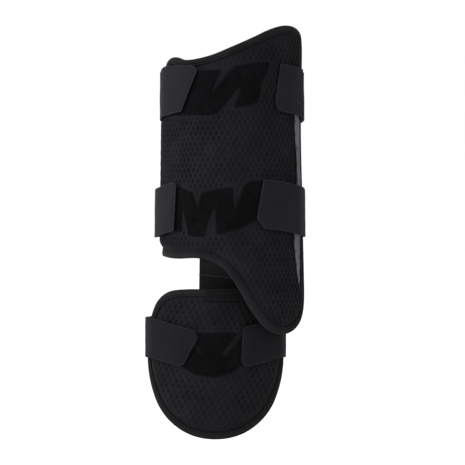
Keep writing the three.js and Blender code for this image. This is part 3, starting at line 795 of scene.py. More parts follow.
class Trees:
    """The geometry trees of the guard: pressed dimples, ribs, stitches and pile."""

    @staticmethod
    def _attribute(nodes: Nodes, name: str, kind: str = "FLOAT_VECTOR") -> Socket:
        """A named attribute of the piece."""
        node = nodes.add("InputNamedAttribute", {"Name": name}, data_type=kind)
        return node.outputs["Attribute"]

    @staticmethod
    def _push(tree: GeometryTree, facing: Socket, distance: Socket, key: str, value: Socket) -> Socket:
        """Move the faces along their facing, and keep a value as an attribute.

        Args:
            tree: The tree.
            facing: The direction of the move.
            distance: How far each point moves.
            key: The attribute's name.
            value: The attribute's value.

        Returns:
            The moved geometry.
        """
        nodes = tree.nodes
        step = nodes.add("ShaderNodeVectorMath", {0: facing}, operation="SCALE")
        nodes.feed(step.inputs["Scale"], distance)
        moved = nodes.add("SetPosition", {"Geometry": tree.given["Geometry"], "Offset": step.outputs[0]})
        named = {"Geometry": moved.outputs[0], "Name": key, "Value": value}
        kept = nodes.add("StoreNamedAttribute", named, data_type="FLOAT")
        return kept.outputs[0]

    @classmethod
    def dimples(cls) -> GeometryTree:
        """Staggered hollows with crossing strands between them, pressed into what faces out.

        Returns:
            The tree.
        """
        sizes = dict.fromkeys(("Pitch", "Row Pitch", "Lean", "Depth"), "Float")
        tree = GeometryTree("dimples", sizes | {"Material": "Material"})
        nodes, given = tree.nodes, tree.given
        flat = nodes.add("ShaderNodeSeparateXYZ", {0: cls._attribute(nodes, "place")})
        shift = nodes.math("MULTIPLY", flat.outputs[1], given["Lean"])
        along = nodes.math("DIVIDE", nodes.math("SUBTRACT", flat.outputs[0], shift), given["Pitch"])
        rows = nodes.math("DIVIDE", nodes.math("MULTIPLY", flat.outputs[1], 0.5), given["Row Pitch"])
        powers = []
        for operation in ("ADD", "SUBTRACT"):
            cell = nodes.math(operation, along, rows)
            aside = nodes.math("ABSOLUTE", nodes.math("SUBTRACT", cell, nodes.math("ROUND", cell)))
            powers.append(nodes.math("POWER", nodes.math("MULTIPLY", aside, 2.0), 3.0))
        reach = nodes.math("POWER", nodes.math("ADD", *powers), 1.0 / 3.0)
        # The sink sets each dimple's depth and is kept, so that the mesh finish darkens by it: painted
        # shade in the hollows
        sink = nodes.ease(reach, 0.25, 1.0, 1.0, 0.0)
        sink = nodes.math("MULTIPLY", sink, cls._attribute(nodes, "open", "FLOAT"))
        depth = nodes.math("MULTIPLY", nodes.math("MULTIPLY", sink, given["Depth"]), -1.0)
        return tree.end(cls._push(tree, cls._attribute(nodes, "facing"), depth, "sink", sink))

    @classmethod
    def ribs(cls) -> GeometryTree:
        """Even ribs across a cloth, raised on what faces out.

        Returns:
            The tree.
        """
        tree = GeometryTree("ribs", {"Pitch": "Float", "Height": "Float", "Material": "Material"})
        nodes, given = tree.nodes, tree.given
        flat = nodes.add("ShaderNodeSeparateXYZ", {0: cls._attribute(nodes, "place")})
        turn = nodes.math("DIVIDE", nodes.math("MULTIPLY", flat.outputs[1], math.pi), given["Pitch"])
        ridge = nodes.math("POWER", nodes.math("ABSOLUTE", nodes.math("SINE", turn)), 0.7)
        ridge = nodes.math("MULTIPLY", ridge, cls._attribute(nodes, "open", "FLOAT"))
        # The grooves between the ribs, kept as the hollow for the painted shade of the ribbed finish
        hollow = nodes.math("SUBTRACT", 1.0, ridge)
        height = nodes.math("MULTIPLY", ridge, given["Height"])
        return tree.end(cls._push(tree, cls._attribute(nodes, "facing"), height, "hollow", hollow))

    @classmethod
    def _lay(cls, tree: GeometryTree, spots: Socket, shape: Socket, ahead: Socket, spread: float) -> Socket:
        """Set a shape at each spot, pointing ahead with its top to the facing.

        Args:
            tree: The tree.
            spots: The points to set it at.
            shape: The shape.
            ahead: The direction that its length takes.
            spread: How much its size varies.

        Returns:
            The instances.
        """
        nodes, given = tree.nodes, tree.given
        turned = nodes.add("FunctionNodeAlignRotationToVector", {"Vector": ahead}, axis="X")
        upright = nodes.add(
            "FunctionNodeAlignRotationToVector",
            {"Rotation": turned.outputs[0], "Vector": cls._attribute(nodes, "facing")},
            axis="Z",
            pivot_axis="X",
        )
        vary = nodes.add("FunctionNodeRandomValue", {"Seed": given["Seed"]}, data_type="FLOAT")
        nodes.feed(vary.inputs[2], 1.0 - spread)
        nodes.feed(vary.inputs[3], 1.0 + spread)
        laid = nodes.add(
            "InstanceOnPoints",
            {"Points": spots, "Instance": shape, "Rotation": upright.outputs[0], "Scale": vary.outputs[1]},
        )
        return laid.outputs[0]

    @classmethod
    def stitches(cls) -> GeometryTree:
        """Short thread stitches along a line.

        Returns:
            The tree.
        """
        sizes = dict.fromkeys(("Pitch", "Length", "Width"), "Float")
        tree = GeometryTree("stitches", sizes | {"Seed": "Int", "Material": "Material"})
        nodes, given = tree.nodes, tree.given
        line = nodes.add("MeshToCurve", {0: given["Geometry"]})
        stepped = {"Curve": line.outputs[0], "Length": given["Pitch"]}
        spots = nodes.add("ResampleCurve", stepped, mode="LENGTH")
        long, half = (nodes.math("MULTIPLY", given[key], 0.5) for key in ("Length", "Width"))
        size = nodes.add("ShaderNodeCombineXYZ", {0: long, 1: half, 2: half})
        ball = nodes.add("MeshUVSphere", {"Segments": 6, "Rings": 4, "Radius": 1.0})
        turned = {"Geometry": ball.outputs[0], "Rotation": (0.0, math.pi / 2.0, 0.0)}
        upright = nodes.add("Transform", turned)
        thread = nodes.add("Transform", {"Geometry": upright.outputs[0], "Scale": size.outputs[0]})
        ahead = nodes.add("InputTangent").outputs[0]
        return tree.end(cls._lay(tree, spots.outputs[0], thread.outputs[0], ahead, 0.12))

    @classmethod
    def pile(cls) -> GeometryTree:
        """Tiny tufts scattered over a cloth's face.

        Returns:
            The tree.
        """
        sizes = dict.fromkeys(("Density", "Width", "Height"), "Float")
        tree = GeometryTree("pile", sizes | {"Seed": "Int", "Material": "Material"})
        nodes, given = tree.nodes, tree.given
        chosen = nodes.math("GREATER_THAN", cls._attribute(nodes, "open", "FLOAT"), 0.5)
        scattered = {"Selection": chosen, "Density": given["Density"], "Seed": given["Seed"]}
        spots = nodes.add(
            "DistributePointsOnFaces",
            {"Mesh": given["Geometry"]} | scattered,
            distribute_method="RANDOM",
        )
        tuft = nodes.add(
            "MeshCone",
            {"Vertices": 3, "Radius Top": 0.0, "Radius Bottom": given["Width"], "Depth": given["Height"]},
            fill_type="TRIANGLE_FAN",
        )
        lean = nodes.add("FunctionNodeRandomValue", {"Seed": given["Seed"]}, data_type="FLOAT_VECTOR")
        nodes.feed(lean.inputs[0], (-1.0, -1.0, -1.0))
        nodes.feed(lean.inputs[1], (1.0, 1.0, 1.0))
        return tree.end(cls._lay(tree, spots.outputs[0], tuft.outputs[0], lean.outputs[0], 0.35))


@dataclass(frozen=True)
class Stitching:
    """A row of stitches."""

    pitch: float = 3.2 * MM
    length: float = 2.3 * MM
    width: float = 0.42 * MM

    def sew(
        self, name: str, points: Array, facing: Array, closed: bool, finish: Finish
    ) -> bpy.types.Object:
        """Sew stitches along a line.

        Args:
            name: The new piece's name.
            points: The line's points.
            facing: The direction out of the cloth at each point.
            closed: Whether the line runs round to its start.
            finish: The thread's finish.

        Returns:
            The stitches as one object, not yet riding.
        """
        mesh = bpy.data.meshes.new(name)
        count = len(points)
        edges = [(k, (k + 1) % count) for k in range(count if closed else count - 1)]
        mesh.from_pydata(points.tolist(), edges, [])
        attribute = mesh.attributes.new("facing", "FLOAT_VECTOR", "POINT")
        attribute.data.foreach_set("vector", facing.astype(np.float32).ravel())
        return Trees.stitches().run(
            show(name, mesh),
            Pitch=self.pitch,
            Length=self.length,
            Width=self.width,
            Seed=len(name),
            Material=finish.material,
        )


@dataclass(frozen=True)
class Fold:
    """A point of the binding's front face: millimetres behind its inner edge, and crowns over the cloth."""

    behind: float
    rise: float


# Front face of the binding: up its inner edge, down into the stitched groove and up to the crown
BINDING_FACE = [
    Fold(*row)
    for row in (
        (0.0, -2.04), (0.05, -0.96), (0.3, -0.1), (0.8, 0.1), (1.15, -0.4),
        (1.35, -1.6), (1.8, -1.6), (2.05, -0.3), (2.5, 0.55), (3.2, 1.0),
    )
]


@dataclass(frozen=True)
class Padding:
    """The padding of a panel and the binding round its rim."""

    full: float
    rim: float
    binding: float = 6.0 * MM
    cloth: float = 1.2 * MM
    crown: float = 0.5 * MM
    rise: float = 10.0 * MM
    seam: float = 0.1 * MM
    puff: float = 1.7
    bulge: float = 1.7
    roll_middle: float = 1.9 * MM
    groove: float = 1.58 * MM
    thread_down: float = 0.7 * MM

    @property
    def binding_top(self) -> float:
        """The lift of the binding at its crown."""
        return self.rim + GAP + self.cloth + self.crown

    def lift(self, inset: Array) -> Array:
        """The lift of the mesh cover, pressed down at the seam and puffed inside it.

        Args:
            inset: Distances in from the outline.

        Returns:
            The lift at each.
        """
        share = np.clip((inset - self.binding) / self.rise, 0.0, 1.0)
        sewn = self.rim - self.seam
        inside = sewn + (self.full - sewn) * (1.0 - (1.0 - share) ** self.puff)
        under = self.rim - self.seam * smoothstep(inset, self.binding - 3.0 * MM, self.binding)
        return np.where(inset > self.binding, inside, under)

    def section(self) -> Array:
        """The binding's section as insets and lifts: its face, over the rim, its back and its inside.

        Returns:
            The section's points in order.
        """
        end, front = self.binding - GAP, self.rim + GAP
        top, back = front + self.cloth, -GAP - self.cloth
        face = [(end - fold.behind * MM, top + fold.rise * self.crown) for fold in BINDING_FACE]
        wide, half = self.roll_middle + GAP + self.cloth, (top + self.crown - back) / 2.0
        roll = []
        for turn in np.linspace(0.0, math.pi, 13)[1:-1]:
            out, up = (abs(value) ** (1.0 / self.bulge) for value in (math.sin(turn), math.cos(turn)))
            up = math.copysign(up, math.cos(turn))
            roll.append((self.roll_middle - wide * out, back + half + half * up))
        under = [
            (self.roll_middle, back),
            (0.55 * end, back),
            (end - 0.4 * MM, back + 0.1 * MM),
            (end, back + 0.5 * self.cloth),
        ]
        inside = [
            (end, -GAP),
            (0.5 * end, -GAP),
            (0.3 * MM, -GAP),
            (-GAP, 0.2 * MM),
            (-GAP, front - 0.6 * MM),
            (0.3 * MM, front),
            (0.5 * end, front),
        ]
        return np.array(face + roll + under + inside)


@dataclass(frozen=True)
class Dimples:
    """The hollows of the mesh cover: how far apart they are, how they lean, and how deep."""

    pitch: float = 5.0 * MM
    row_pitch: float = 5.25 * MM
    lean: float = 0.0
    depth: float = 1.4 * MM

    def spots(self, outline: Outline, margin: float) -> Array:
        """The points inside an outline that carry the hollows and the strands.

        Args:
            outline: The panel's outline.
            margin: The least distance in from it.

        Returns:
            The points.
        """
        wide, high = np.abs(outline.points).max(0)
        count = math.ceil((wide + abs(self.lean) * high) / self.pitch + 0.5 * high / self.row_pitch) + 1
        steps = np.array([0.0, 0.18, 0.35, 0.5, 0.65, 0.82])
        cells = (np.arange(-count, count)[:, None] + steps).ravel()
        first, second = (a.ravel() for a in np.meshgrid(cells, cells))
        up = self.row_pitch * (first - second)
        points = np.stack([self.pitch * (first + second) / 2.0 + self.lean * up, up], -1)
        points = points[np.all(np.abs(points) < (wide, high), axis=1)]
        return points[outline.inset(points) > margin]


@dataclass(frozen=True)
class Pressed:
    """A rectangle of a panel that a tight strap presses down."""

    across: float
    up: float
    half_width: float
    half_height: float
    ramp: tuple[float, float] = (-4.0 * MM, 2.0 * MM)

    def share(self, flat: Array) -> Array:
        """How far the panel is pressed, from 0 outside to 1 inside."""
        aside = np.abs(flat[:, 0] - self.across) - self.half_width
        above = np.abs(flat[:, 1] - self.up) - self.half_height
        return 1.0 - smoothstep(np.maximum(aside, above), *self.ramp)


@dataclass(frozen=True)
class Reach:
    """How far a panel reaches each way from its origin."""

    left: float
    right: float
    above: float
    below: float

    def spot(self, across: float, up: float) -> tuple[float, float]:
        """A place from shares of the reach on its side.

        Args:
            across: The share to the right, or to the left where it is negative.
            up: The share above, or below where it is negative.

        Returns:
            The place, as across and up.
        """
        return (
            across * (self.left if across < 0.0 else self.right),
            up * (self.below if up < 0.0 else self.above),
        )


@dataclass
class Panel:
    """A padded panel: foam under a dimpled mesh cover, with a binding sewn round its rim."""

    name: str
    node: str
    binding_node: str
    form: LegForm
    reach: Reach
    outline: Outline
    padding: Padding
    dimples: Dimples
    seed: int
    side_cloth: float = 0.0
    sewn_over: tuple[Outline, ...] = ()
    strapped: tuple[Pressed, ...] = ()
    squeeze: float = 1.2 * MM
    wander: float = 0.35 * MM
    wander_wave: float = 95.0 * MM
    front_fade: float = 0.42
    front_fade_reach: float = 34.0 * MM
    slack_wander: float = 0.14
    slack_wave: float = 38.0 * MM
    hollows_from: float = 4.2 * MM
    hollows_rise: tuple[float, float] = (0.8 * MM, 2.6 * MM)
    patch_press: float = 0.85
    patch_edge: tuple[float, float] = (-4.5 * MM, -1.5 * MM)
    facet: float = 1.6 * MM
    back_facet: float = 7.0 * MM
    seam_rings: tuple[float, ...] = (-4.5 * MM, -1.2 * MM, 0.0, 0.7 * MM, 1.8 * MM, 3.4 * MM)

    def lift(self, flat: Array, inset: Array) -> Array:
        """The lift of the mesh cover before it is dimpled, with the foam's slow wander.

        Args:
            flat: Flat places.
            inset: Their distances in from the outline.

        Returns:
            The lift at each.
        """
        binding = self.padding.binding
        wander = self.wander * drift(*flat.T, self.wander_wave, self.seed)
        lift = self.padding.lift(inset) + wander * smoothstep(inset, 2.0 * binding, 5.0 * binding)
        for area in self.strapped:
            lift = lift - self.squeeze * area.share(flat) * smoothstep(inset, binding, 2.0 * binding)
        return lift

    def slack(self, flat: Array) -> Array:
        """The share of their depth that the hollows keep, least across the front, where head-on light would
        fill them; the painted shade in the hollows fades with it.
        """
        front_fade = np.exp(-((flat[:, 0] / self.front_fade_reach) ** 2))
        wander = drift(*flat.T, self.slack_wave, self.seed + 1)
        return np.clip(1.0 - self.front_fade * front_fade + self.slack_wander * wander, 0.0, 1.15)

    def cover(self) -> bpy.types.Object:
        """Build the pad: the dimpled cover in front, the plain cloth behind and the rim between.

        Returns:
            The pad.
        """
        border = self.outline.even(self.facet)
        seam = self.padding.binding
        rings = [self.outline.ring(seam + step, self.facet) for step in self.seam_rings]
        spots = self.dimples.spots(self.outline, seam + self.hollows_from)
        front = Facets.fill(border, np.vstack([*rings, spots]))
        back = Facets.fill(border, self.outline.lattice(self.back_facet, self.back_facet, self.back_facet))
        depth = self.outline.inset(front.points)
        # shown scales each dimple's depth and with it the painted shade in the dimple
        shown = smoothstep(depth - seam, *self.hollows_rise)
        shown *= self.slack(front.points)
        for patch in self.sewn_over:
            shown *= 1.0 - self.patch_press * smoothstep(patch.inset(front.points), *self.patch_edge)
        piece = Piece(self.name)
        first = piece.add(
            self.form.place(*front.points.T, self.lift(front.points, depth)),
            front.points,
            facing=self.form.facing(front.points[:, 0]),
            place=level(front.points),
            open=shown,
        )
        second = piece.add(
            self.form.place(*back.points.T, 0.0),
            back.points,
            facing=-self.form.facing(back.points[:, 0]),
            place=level(back.points),
            open=np.zeros(len(back.points)),
        )
        piece.join(front, first)
        piece.join(back, second, outwards=False)
        piece.wall(front.border + first, back.border + second)
        made = Trees.dimples().run(
            piece.build(),
            Pitch=self.dimples.pitch,
            Lean=self.dimples.lean,
            Depth=self.dimples.depth,
            Material=MESH.material,
            **{"Row Pitch": self.dimples.row_pitch},
        )
        finish_piece(made, MESH, Slot.MESH, self.node)
        return made

    def binding(self) -> bpy.types.Object:
        """Build the binding that wraps the rim.

        Returns:
            The binding.
        """
        section = self.padding.section()
        count = round(self.outline.length / (2.0 * MM))
        arcs = np.arange(count) * self.outline.length / count
        point, inward = self.outline.at(arcs)
        flat = point[:, None, :] + inward[:, None, :] * section[None, :, :1]
        lift = np.broadcast_to(section[None, :, 1], flat.shape[:2])
        wrap = np.concatenate([[0.0], np.cumsum(np.linalg.norm(np.diff(section, axis=0), axis=1))])
        cloth = np.stack(np.broadcast_arrays(arcs[:, None], wrap[None, :]), -1)
        piece = Piece(f"{self.name}_binding")
        piece.add(self.form.place(flat[..., 0], flat[..., 1], lift), cloth)
        piece.tube(count, len(section))
        made = finish_piece(piece.build(), BINDING, Slot.BINDING, self.binding_node)
        self.outline.length
        return made

    def binding_stitches(self) -> bpy.types.Object:
        """Sew the row of stitches in the groove along the binding's inner edge.

        Returns:
            The stitches.
        """
        padding = self.padding
        arcs = np.arange(0.0, self.outline.length, 1.0 * MM)
        point, inward = self.outline.at(arcs)
        flat = point + inward * (padding.binding - GAP - padding.groove)
        line = self.form.place(*flat.T, padding.rim + GAP + padding.cloth - padding.thread_down)
        facing = self.form.facing(flat[:, 0])
        made = Stitching().sew(f"{self.name}_binding_stitches", line, facing, True, THREAD)
        return finish_piece(made, THREAD, Slot.BINDING)

    def clear_lift(self, along: Array, up: Array, rest: float) -> Array:
        """The least lift of a strap that crosses the panel.

        Args:
            along: Distances round the form from its front.
            up: Heights.
            rest: The lift beside the panel.

        Returns:
            The least lift at each place.
        """
        flat = np.stack([along, up], -1)
        inset = self.outline.inset(flat)
        cloth = self.side_cloth * (along > 0.0)
        top = self.padding.binding_top
        over = np.maximum(top, self.lift(flat, inset) + cloth)
        lift = np.where(inset < self.padding.binding, top, over) + GAP
        return np.where(inset < -2.0 * GAP - self.padding.cloth, rest, lift)


@dataclass
class Cloth:
    """A piece of cloth cut to an outline and laid down, with rounded edges.

    lay takes flat places and their lifts above the cloth's underside, and gives points in space. The
    cloth faces the way the form does.
    """

    name: str
    outline: Outline
    thickness: float
    facet: float
    form: LegForm
    lay: Callable[[Array, Array], Array]
    relief: Callable[[Array, Array], Array] | None = None
    edge: float = 1.1 * MM
    open_inset: float = 0.0
    spots: Array | None = None
    rim_shares: tuple[float, ...] = (0.12, 0.45, 1.0)
    edge_shares: tuple[float, ...] = (1.3, 2.0)
    rounded: float = 0.95

    def build(self) -> bpy.types.Object:
        """Build the cloth as a closed mesh.

        Returns:
            The cloth.
        """
        half = self.thickness / 2.0
        steps = [share * half for share in self.rim_shares]
        steps += [share * self.edge for share in self.edge_shares]
        rings = [self.outline.ring(step, self.facet) for step in steps]
        if self.spots is None:
            inner = self.outline.lattice(self.facet * 1.6, self.facet * 1.4, steps[-1] + 0.5 * self.facet)
        else:
            inner = self.spots[self.outline.inset(self.spots) > steps[-1] + 0.4 * self.facet]
        facets = Facets.fill(self.outline, np.vstack([*rings, inner]))
        flat = facets.points
        inset = np.maximum(self.outline.inset(flat), 0.0)
        round_off = np.sqrt(np.clip(1.0 - (1.0 - np.minimum(inset / half, 1.0)) ** 2, 0.0, 1.0))
        upper = half * (2.0 - self.rounded + self.rounded * round_off)
        lower = half * (self.rounded - self.rounded * round_off)
        if self.relief is not None:
            upper = upper + self.relief(flat, inset) * smoothstep(inset, 0.0, half)
        # A mask of the rim, along which the strap finish paints a highlight
        edge = 1.0 - smoothstep(inset, 0.55 * self.edge, self.edge)
        piece = Piece(self.name)
        shared = {"place": level(flat), "facing": self.form.facing(flat[:, 0])}
        shown = smoothstep(inset, self.open_inset, self.open_inset + 0.5 * MM)
        first = piece.add(self.lay(flat, upper), flat, edge=edge, open=shown, **shared)
        second = piece.add(self.lay(flat, lower), flat, edge=edge, open=np.zeros(len(flat)), **shared)
        piece.join(facets, first)
        piece.join(facets, second, outwards=False)
        piece.wall(facets.border + first, facets.border + second)
        return piece.build()


@dataclass(frozen=True)
class Cut:
    """A corner of a flat cut, as a share of the cut's width and height."""

    across: float
    up: float


def cuts(rows: Sequence[tuple[float, float]]) -> list[Cut]:
    """Rows of across and up as corners."""
    return [Cut(*row) for row in rows]


# Shin outline, clockwise from its upper left corner, as shares of the reach on each side
SHIN_TABLE = cuts([
    (-0.832, 0.622), (-0.742, 0.714), (-0.607, 0.745), (-0.488, 0.713), (-0.375, 0.702), (-0.192, 0.727),
    (-0.017, 0.793), (0.215, 0.877), (0.420, 0.951), (0.623, 0.997), (0.810, 0.995), (0.948, 0.955),
    (0.990, 0.866), (0.985, 0.741), (0.925, 0.244), (0.922, -0.017), (0.946, -0.233), (0.962, -0.505),
    (0.978, -0.668), (0.975, -0.834), (0.920, -0.902), (0.833, -0.948), (0.685, -0.988), (0.529, -1.000),
    (0.372, -0.972), (0.234, -0.901), (0.101, -0.796), (-0.021, -0.693), (-0.124, -0.628), (-0.274, -0.598),
    (-0.542, -0.600), (-0.735, -0.594), (-0.948, -0.579), (-0.992, -0.536), (-1.000, -0.430),
    (-0.996, -0.211), (-0.972, 0.247), (-0.925, 0.500),
])

# Right half of the foot pad's outline, from the middle of its top edge to the middle of its toe
FOOT_TABLE = cuts([
    (0.000, 1.000), (0.390, 0.998), (0.600, 0.966), (0.757, 0.856), (0.866, 0.687), (0.950, 0.455),
    (0.989, 0.210), (1.000, 0.026), (0.948, -0.170), (0.858, -0.376), (0.746, -0.577), (0.590, -0.758),
    (0.392, -0.903), (0.203, -0.977), (0.000, -1.000),
])

# Corners of the loop patches, clockwise from the upper left, as shares of each patch's size
UPPER_PATCH = cuts([
    (-0.500, 0.350), (0.062, 0.335), (-0.032, -0.067), (-0.010, -0.095), (0.158, 0.355), (0.215, 0.417),
    (0.333, 0.455), (0.500, 0.500), (0.478, 0.285), (0.430, 0.145), (0.391, -0.257), (0.294, -0.330),
    (0.176, -0.372), (0.248, -0.010), (0.214, 0.010), (0.098, -0.298), (0.018, -0.485), (-0.048, -0.500),
    (-0.500, -0.465),
])
LOWER_PATCH = cuts([
    (-0.500, 0.400), (-0.240, 0.360), (-0.152, 0.290), (-0.103, -0.050), (-0.080, 0.250), (0.023, 0.325),
    (0.137, 0.365), (0.137, 0.010), (0.158, -0.020), (0.203, 0.360), (0.253, 0.470), (0.500, 0.500),
    (0.500, -0.120), (0.296, -0.205), (0.203, -0.330), (0.029, -0.465), (0.020, -0.010), (-0.004, -0.010),
    (-0.057, -0.500), (-0.172, -0.485), (-0.220, -0.042), (-0.240, -0.060), (-0.242, -0.415),
    (-0.500, -0.360),
])
FOOT_PATCH = cuts([
    (-0.500, 0.470), (-0.300, 0.475), (-0.176, 0.030), (-0.154, -0.010), (-0.128, 0.020), (-0.245, 0.478),
    (0.222, 0.480), (0.062, 0.005), (0.074, -0.045), (0.106, -0.035), (0.272, 0.420), (0.290, 0.490),
    (0.500, 0.500), (0.500, -0.050), (0.296, -0.180), (0.183, -0.385), (0.000, -0.500), (-0.217, -0.440),
    (-0.317, -0.300), (-0.500, -0.120),
])


@dataclass
class LoopPatch:
    """A notched patch of loop pile, sewn on a panel where a tab closes."""

    name: str
    node: str
    panel: Panel
    table: Sequence[Cut]
    across: float
    up: float
    width: float
    height: float
    pile: float = 1.6 * MM
    seed: int = 5
    corner: float = 1.6 * MM
    backing: float = 0.75
    ripple: float = 0.16 * MM
    ripple_wave: float = 9.0 * MM
    tuft_density: float = 1.7 / MM**2
    tuft_width: float = 0.34 * MM
    tuft_height: float = 0.75 * MM

    @property
    def top(self) -> float:
        """The lift of the pile's top."""
        return self.panel.padding.full + GAP + self.pile

    @cached_property
    def outline(self) -> Outline:
        """The patch's flat outline, at its place on the panel."""
        size, middle = np.array([self.width, self.height]), np.array([self.across, self.up])
        corners = np.array([(row.across, row.up) for row in self.table]) * size + middle
        return Outline.rounded(corners, self.corner, 0.9 * MM)

    def dress(self) -> list[bpy.types.Object]:
        """Build the backing cloth and the pile on it.

        Returns:
            The backing and its pile.
        """
        form, base = self.panel.form, self.panel.padding.full + GAP
        cloth = Cloth(
            self.name,
            self.outline,
            thickness=self.pile * self.backing,
            facet=1.2 * MM,
            form=form,
            lay=lambda flat, lift: form.place(*flat.T, base + lift),
            relief=lambda flat, inset: self.ripple * drift(*flat.T, self.ripple_wave, self.seed),
            open_inset=0.1 * MM,
        )
        backing = finish_piece(cloth.build(), LOOP, Slot.LOOP, self.node)
        tufts = show(f"{self.name}_pile", backing.data.copy())
        Trees.pile().run(
            tufts,
            Density=self.tuft_density,
            Width=self.tuft_width,
            Height=self.tuft_height,
            Seed=self.seed,
            Material=LOOP.material,
        )
        finish_piece(tufts, LOOP, Slot.LOOP)
        self.outline.area
        return [backing, tufts]


@dataclass(frozen=True)
class Stop:
    """A place on a strap's course: the rise of its middle as a share of its width, and its least lift."""

    along: float
    rise: float
    lift: float


Rows = Sequence[tuple[float, float, float]]


def course(panel: Panel, right: Rows, behind: float, left: Rows) -> list[Stop]:
    """A strap's course round the leg.

    Args:
        panel: The panel that it closes on.
        right: Rows of share of the right reach, rise and lift, from the right tab on.
        behind: The rise in the middle of the back.
        left: Rows of share of the left reach, rise and lift, up to the left tab.

    Returns:
        The stops in their order.
    """
    loop = panel.form.loop
    return [
        *(Stop(share * panel.reach.right, rise, lift) for share, rise, lift in right),
        Stop(loop / 2.0, behind, BACK_LIFT),
        *(Stop(loop - share * panel.reach.left, rise, lift) for share, rise, lift in left),
    ]


@dataclass(frozen=True)
class TabEdge:
    """An edge of a tab's end, as shares of the strap's width: from the middle, and behind the tip."""

    up: float
    behind: float


def tab(*rows: tuple[float, float]) -> list[TabEdge]:
    """Rows of up and behind, from the top of a tab's end to its bottom."""
    return [TabEdge(*row) for row in rows]


@dataclass
class Strap:
    """An elastic strap from its right tab, round the back of the leg, to its left tab."""

    name: str
    node: str
    panel: Panel
    width: float
    up: float
    right_tip: float
    left_tip: float
    right_end: list[TabEdge]
    left_end: list[TabEdge]
    course: list[Stop]
    finish: Finish = STRAP
    thickness: float = 1.6 * MM
    corner: float = 1.2 * MM
    tab_length: float = 36.0 * MM
    tab_fade: float = 1.4
    step: float = 1.0 * MM
    clearing: int = 2
    weld: tuple[float, float] = (1.8 * MM, 2.5 * MM)
    weld_press: float = 0.45 * MM
    wander: float = 0.12 * MM
    wander_wave: float = 60.0 * MM

    @property
    def left_end_at(self) -> float:
        """How far along the left tip is."""
        return self.panel.form.loop - self.left_tip

    def middle(self, along: Array) -> Array:
        """The height of the strap's middle."""
        stops = [stop.along for stop in self.course]
        return self.up + self.width * np.interp(along, stops, [stop.rise for stop in self.course])

    @cached_property
    def stations(self) -> tuple[Array, Array]:
        """Places along the strap, and its smooth lift there, clear of the panel."""
        along = np.arange(self.right_tip - 0.02, self.left_end_at + 0.02, self.step)
        lift = np.interp(along, [stop.along for stop in self.course], [stop.lift for stop in self.course])
        signed, middle = self.panel.form.signed(along), self.middle(along)
        for share in np.linspace(-0.5, 0.5, 9):
            clear = self.panel.clear_lift(signed, middle + share * self.width, BACK_LIFT)
            lift = np.maximum(lift, clear)
        for _ in range(self.clearing):
            padded = np.pad(lift, 1, mode="edge")
            lift = np.maximum(np.maximum(padded[:-2], padded[2:]), lift)
        kernel = np.hanning(2 * self.clearing + 3)[1:-1]
        padded = np.pad(lift, self.clearing, mode="edge")
        return along, np.convolve(padded, kernel / kernel.sum(), "valid")

    def corners(self) -> Array:
        """The flat cut: along the strap, and up from its middle.

        Returns:
            The corners in order.
        """
        start, far, half = self.right_tip, self.left_end_at, self.width / 2.0
        right = [(start + edge.behind * self.width, edge.up * self.width) for edge in self.right_end]
        left = [(far - edge.behind * self.width, edge.up * self.width) for edge in self.left_end]
        near, end = start + self.tab_length, far - self.tab_length
        lower, upper = [(near, -half), (end, -half)], [(end, half), (near, half)]
        return np.array([*right, *lower, *reversed(left), *upper])

    def lay(self, flat: Array, lift: Array) -> Array:
        """Points in space of places on the strap."""
        base = np.interp(flat[:, 0], *self.stations)
        return self.panel.form.place(flat[:, 0], self.middle(flat[:, 0]) + flat[:, 1], base + lift)

    def dress(self) -> bpy.types.Object:
        """Build the strap, with its tabs' thin welded edges.

        Returns:
            The strap.
        """
        outline = Outline.rounded(self.corners(), self.corner, 1.3 * MM)
        end = self.left_end_at
        along = np.arange(self.right_tip, end, 2.0 * MM)
        across = np.linspace(-0.5, 0.5, 19) * self.width
        grid = np.stack(np.meshgrid(along, across), -1).reshape(-1, 2)

        def relief(flat: Array, inset: Array) -> Array:
            """Press the tabs' edges thin, and let the cloth wander.

            Args:
                flat: Places on the strap.
                inset: Their distances in from its edge.

            Returns:
                The rise at each.
            """
            reach = np.minimum(flat[:, 0] - self.right_tip, end - flat[:, 0])
            on_tab = 1.0 - smoothstep(reach, self.tab_length, self.tab_fade * self.tab_length)
            weld = 1.0 - smoothstep(inset, *self.weld)
            wander = drift(*flat.T, self.wander_wave, len(self.name))
            return self.wander * wander - self.weld_press * weld * on_tab

        cloth = Cloth(
            self.name,
            outline,
            thickness=self.thickness,
            facet=1.6 * MM,
            form=self.panel.form,
            lay=self.lay,
            relief=relief,
            spots=grid,
        )
        made = finish_piece(cloth.build(), self.finish, Slot.STRAP, self.node)
        return made


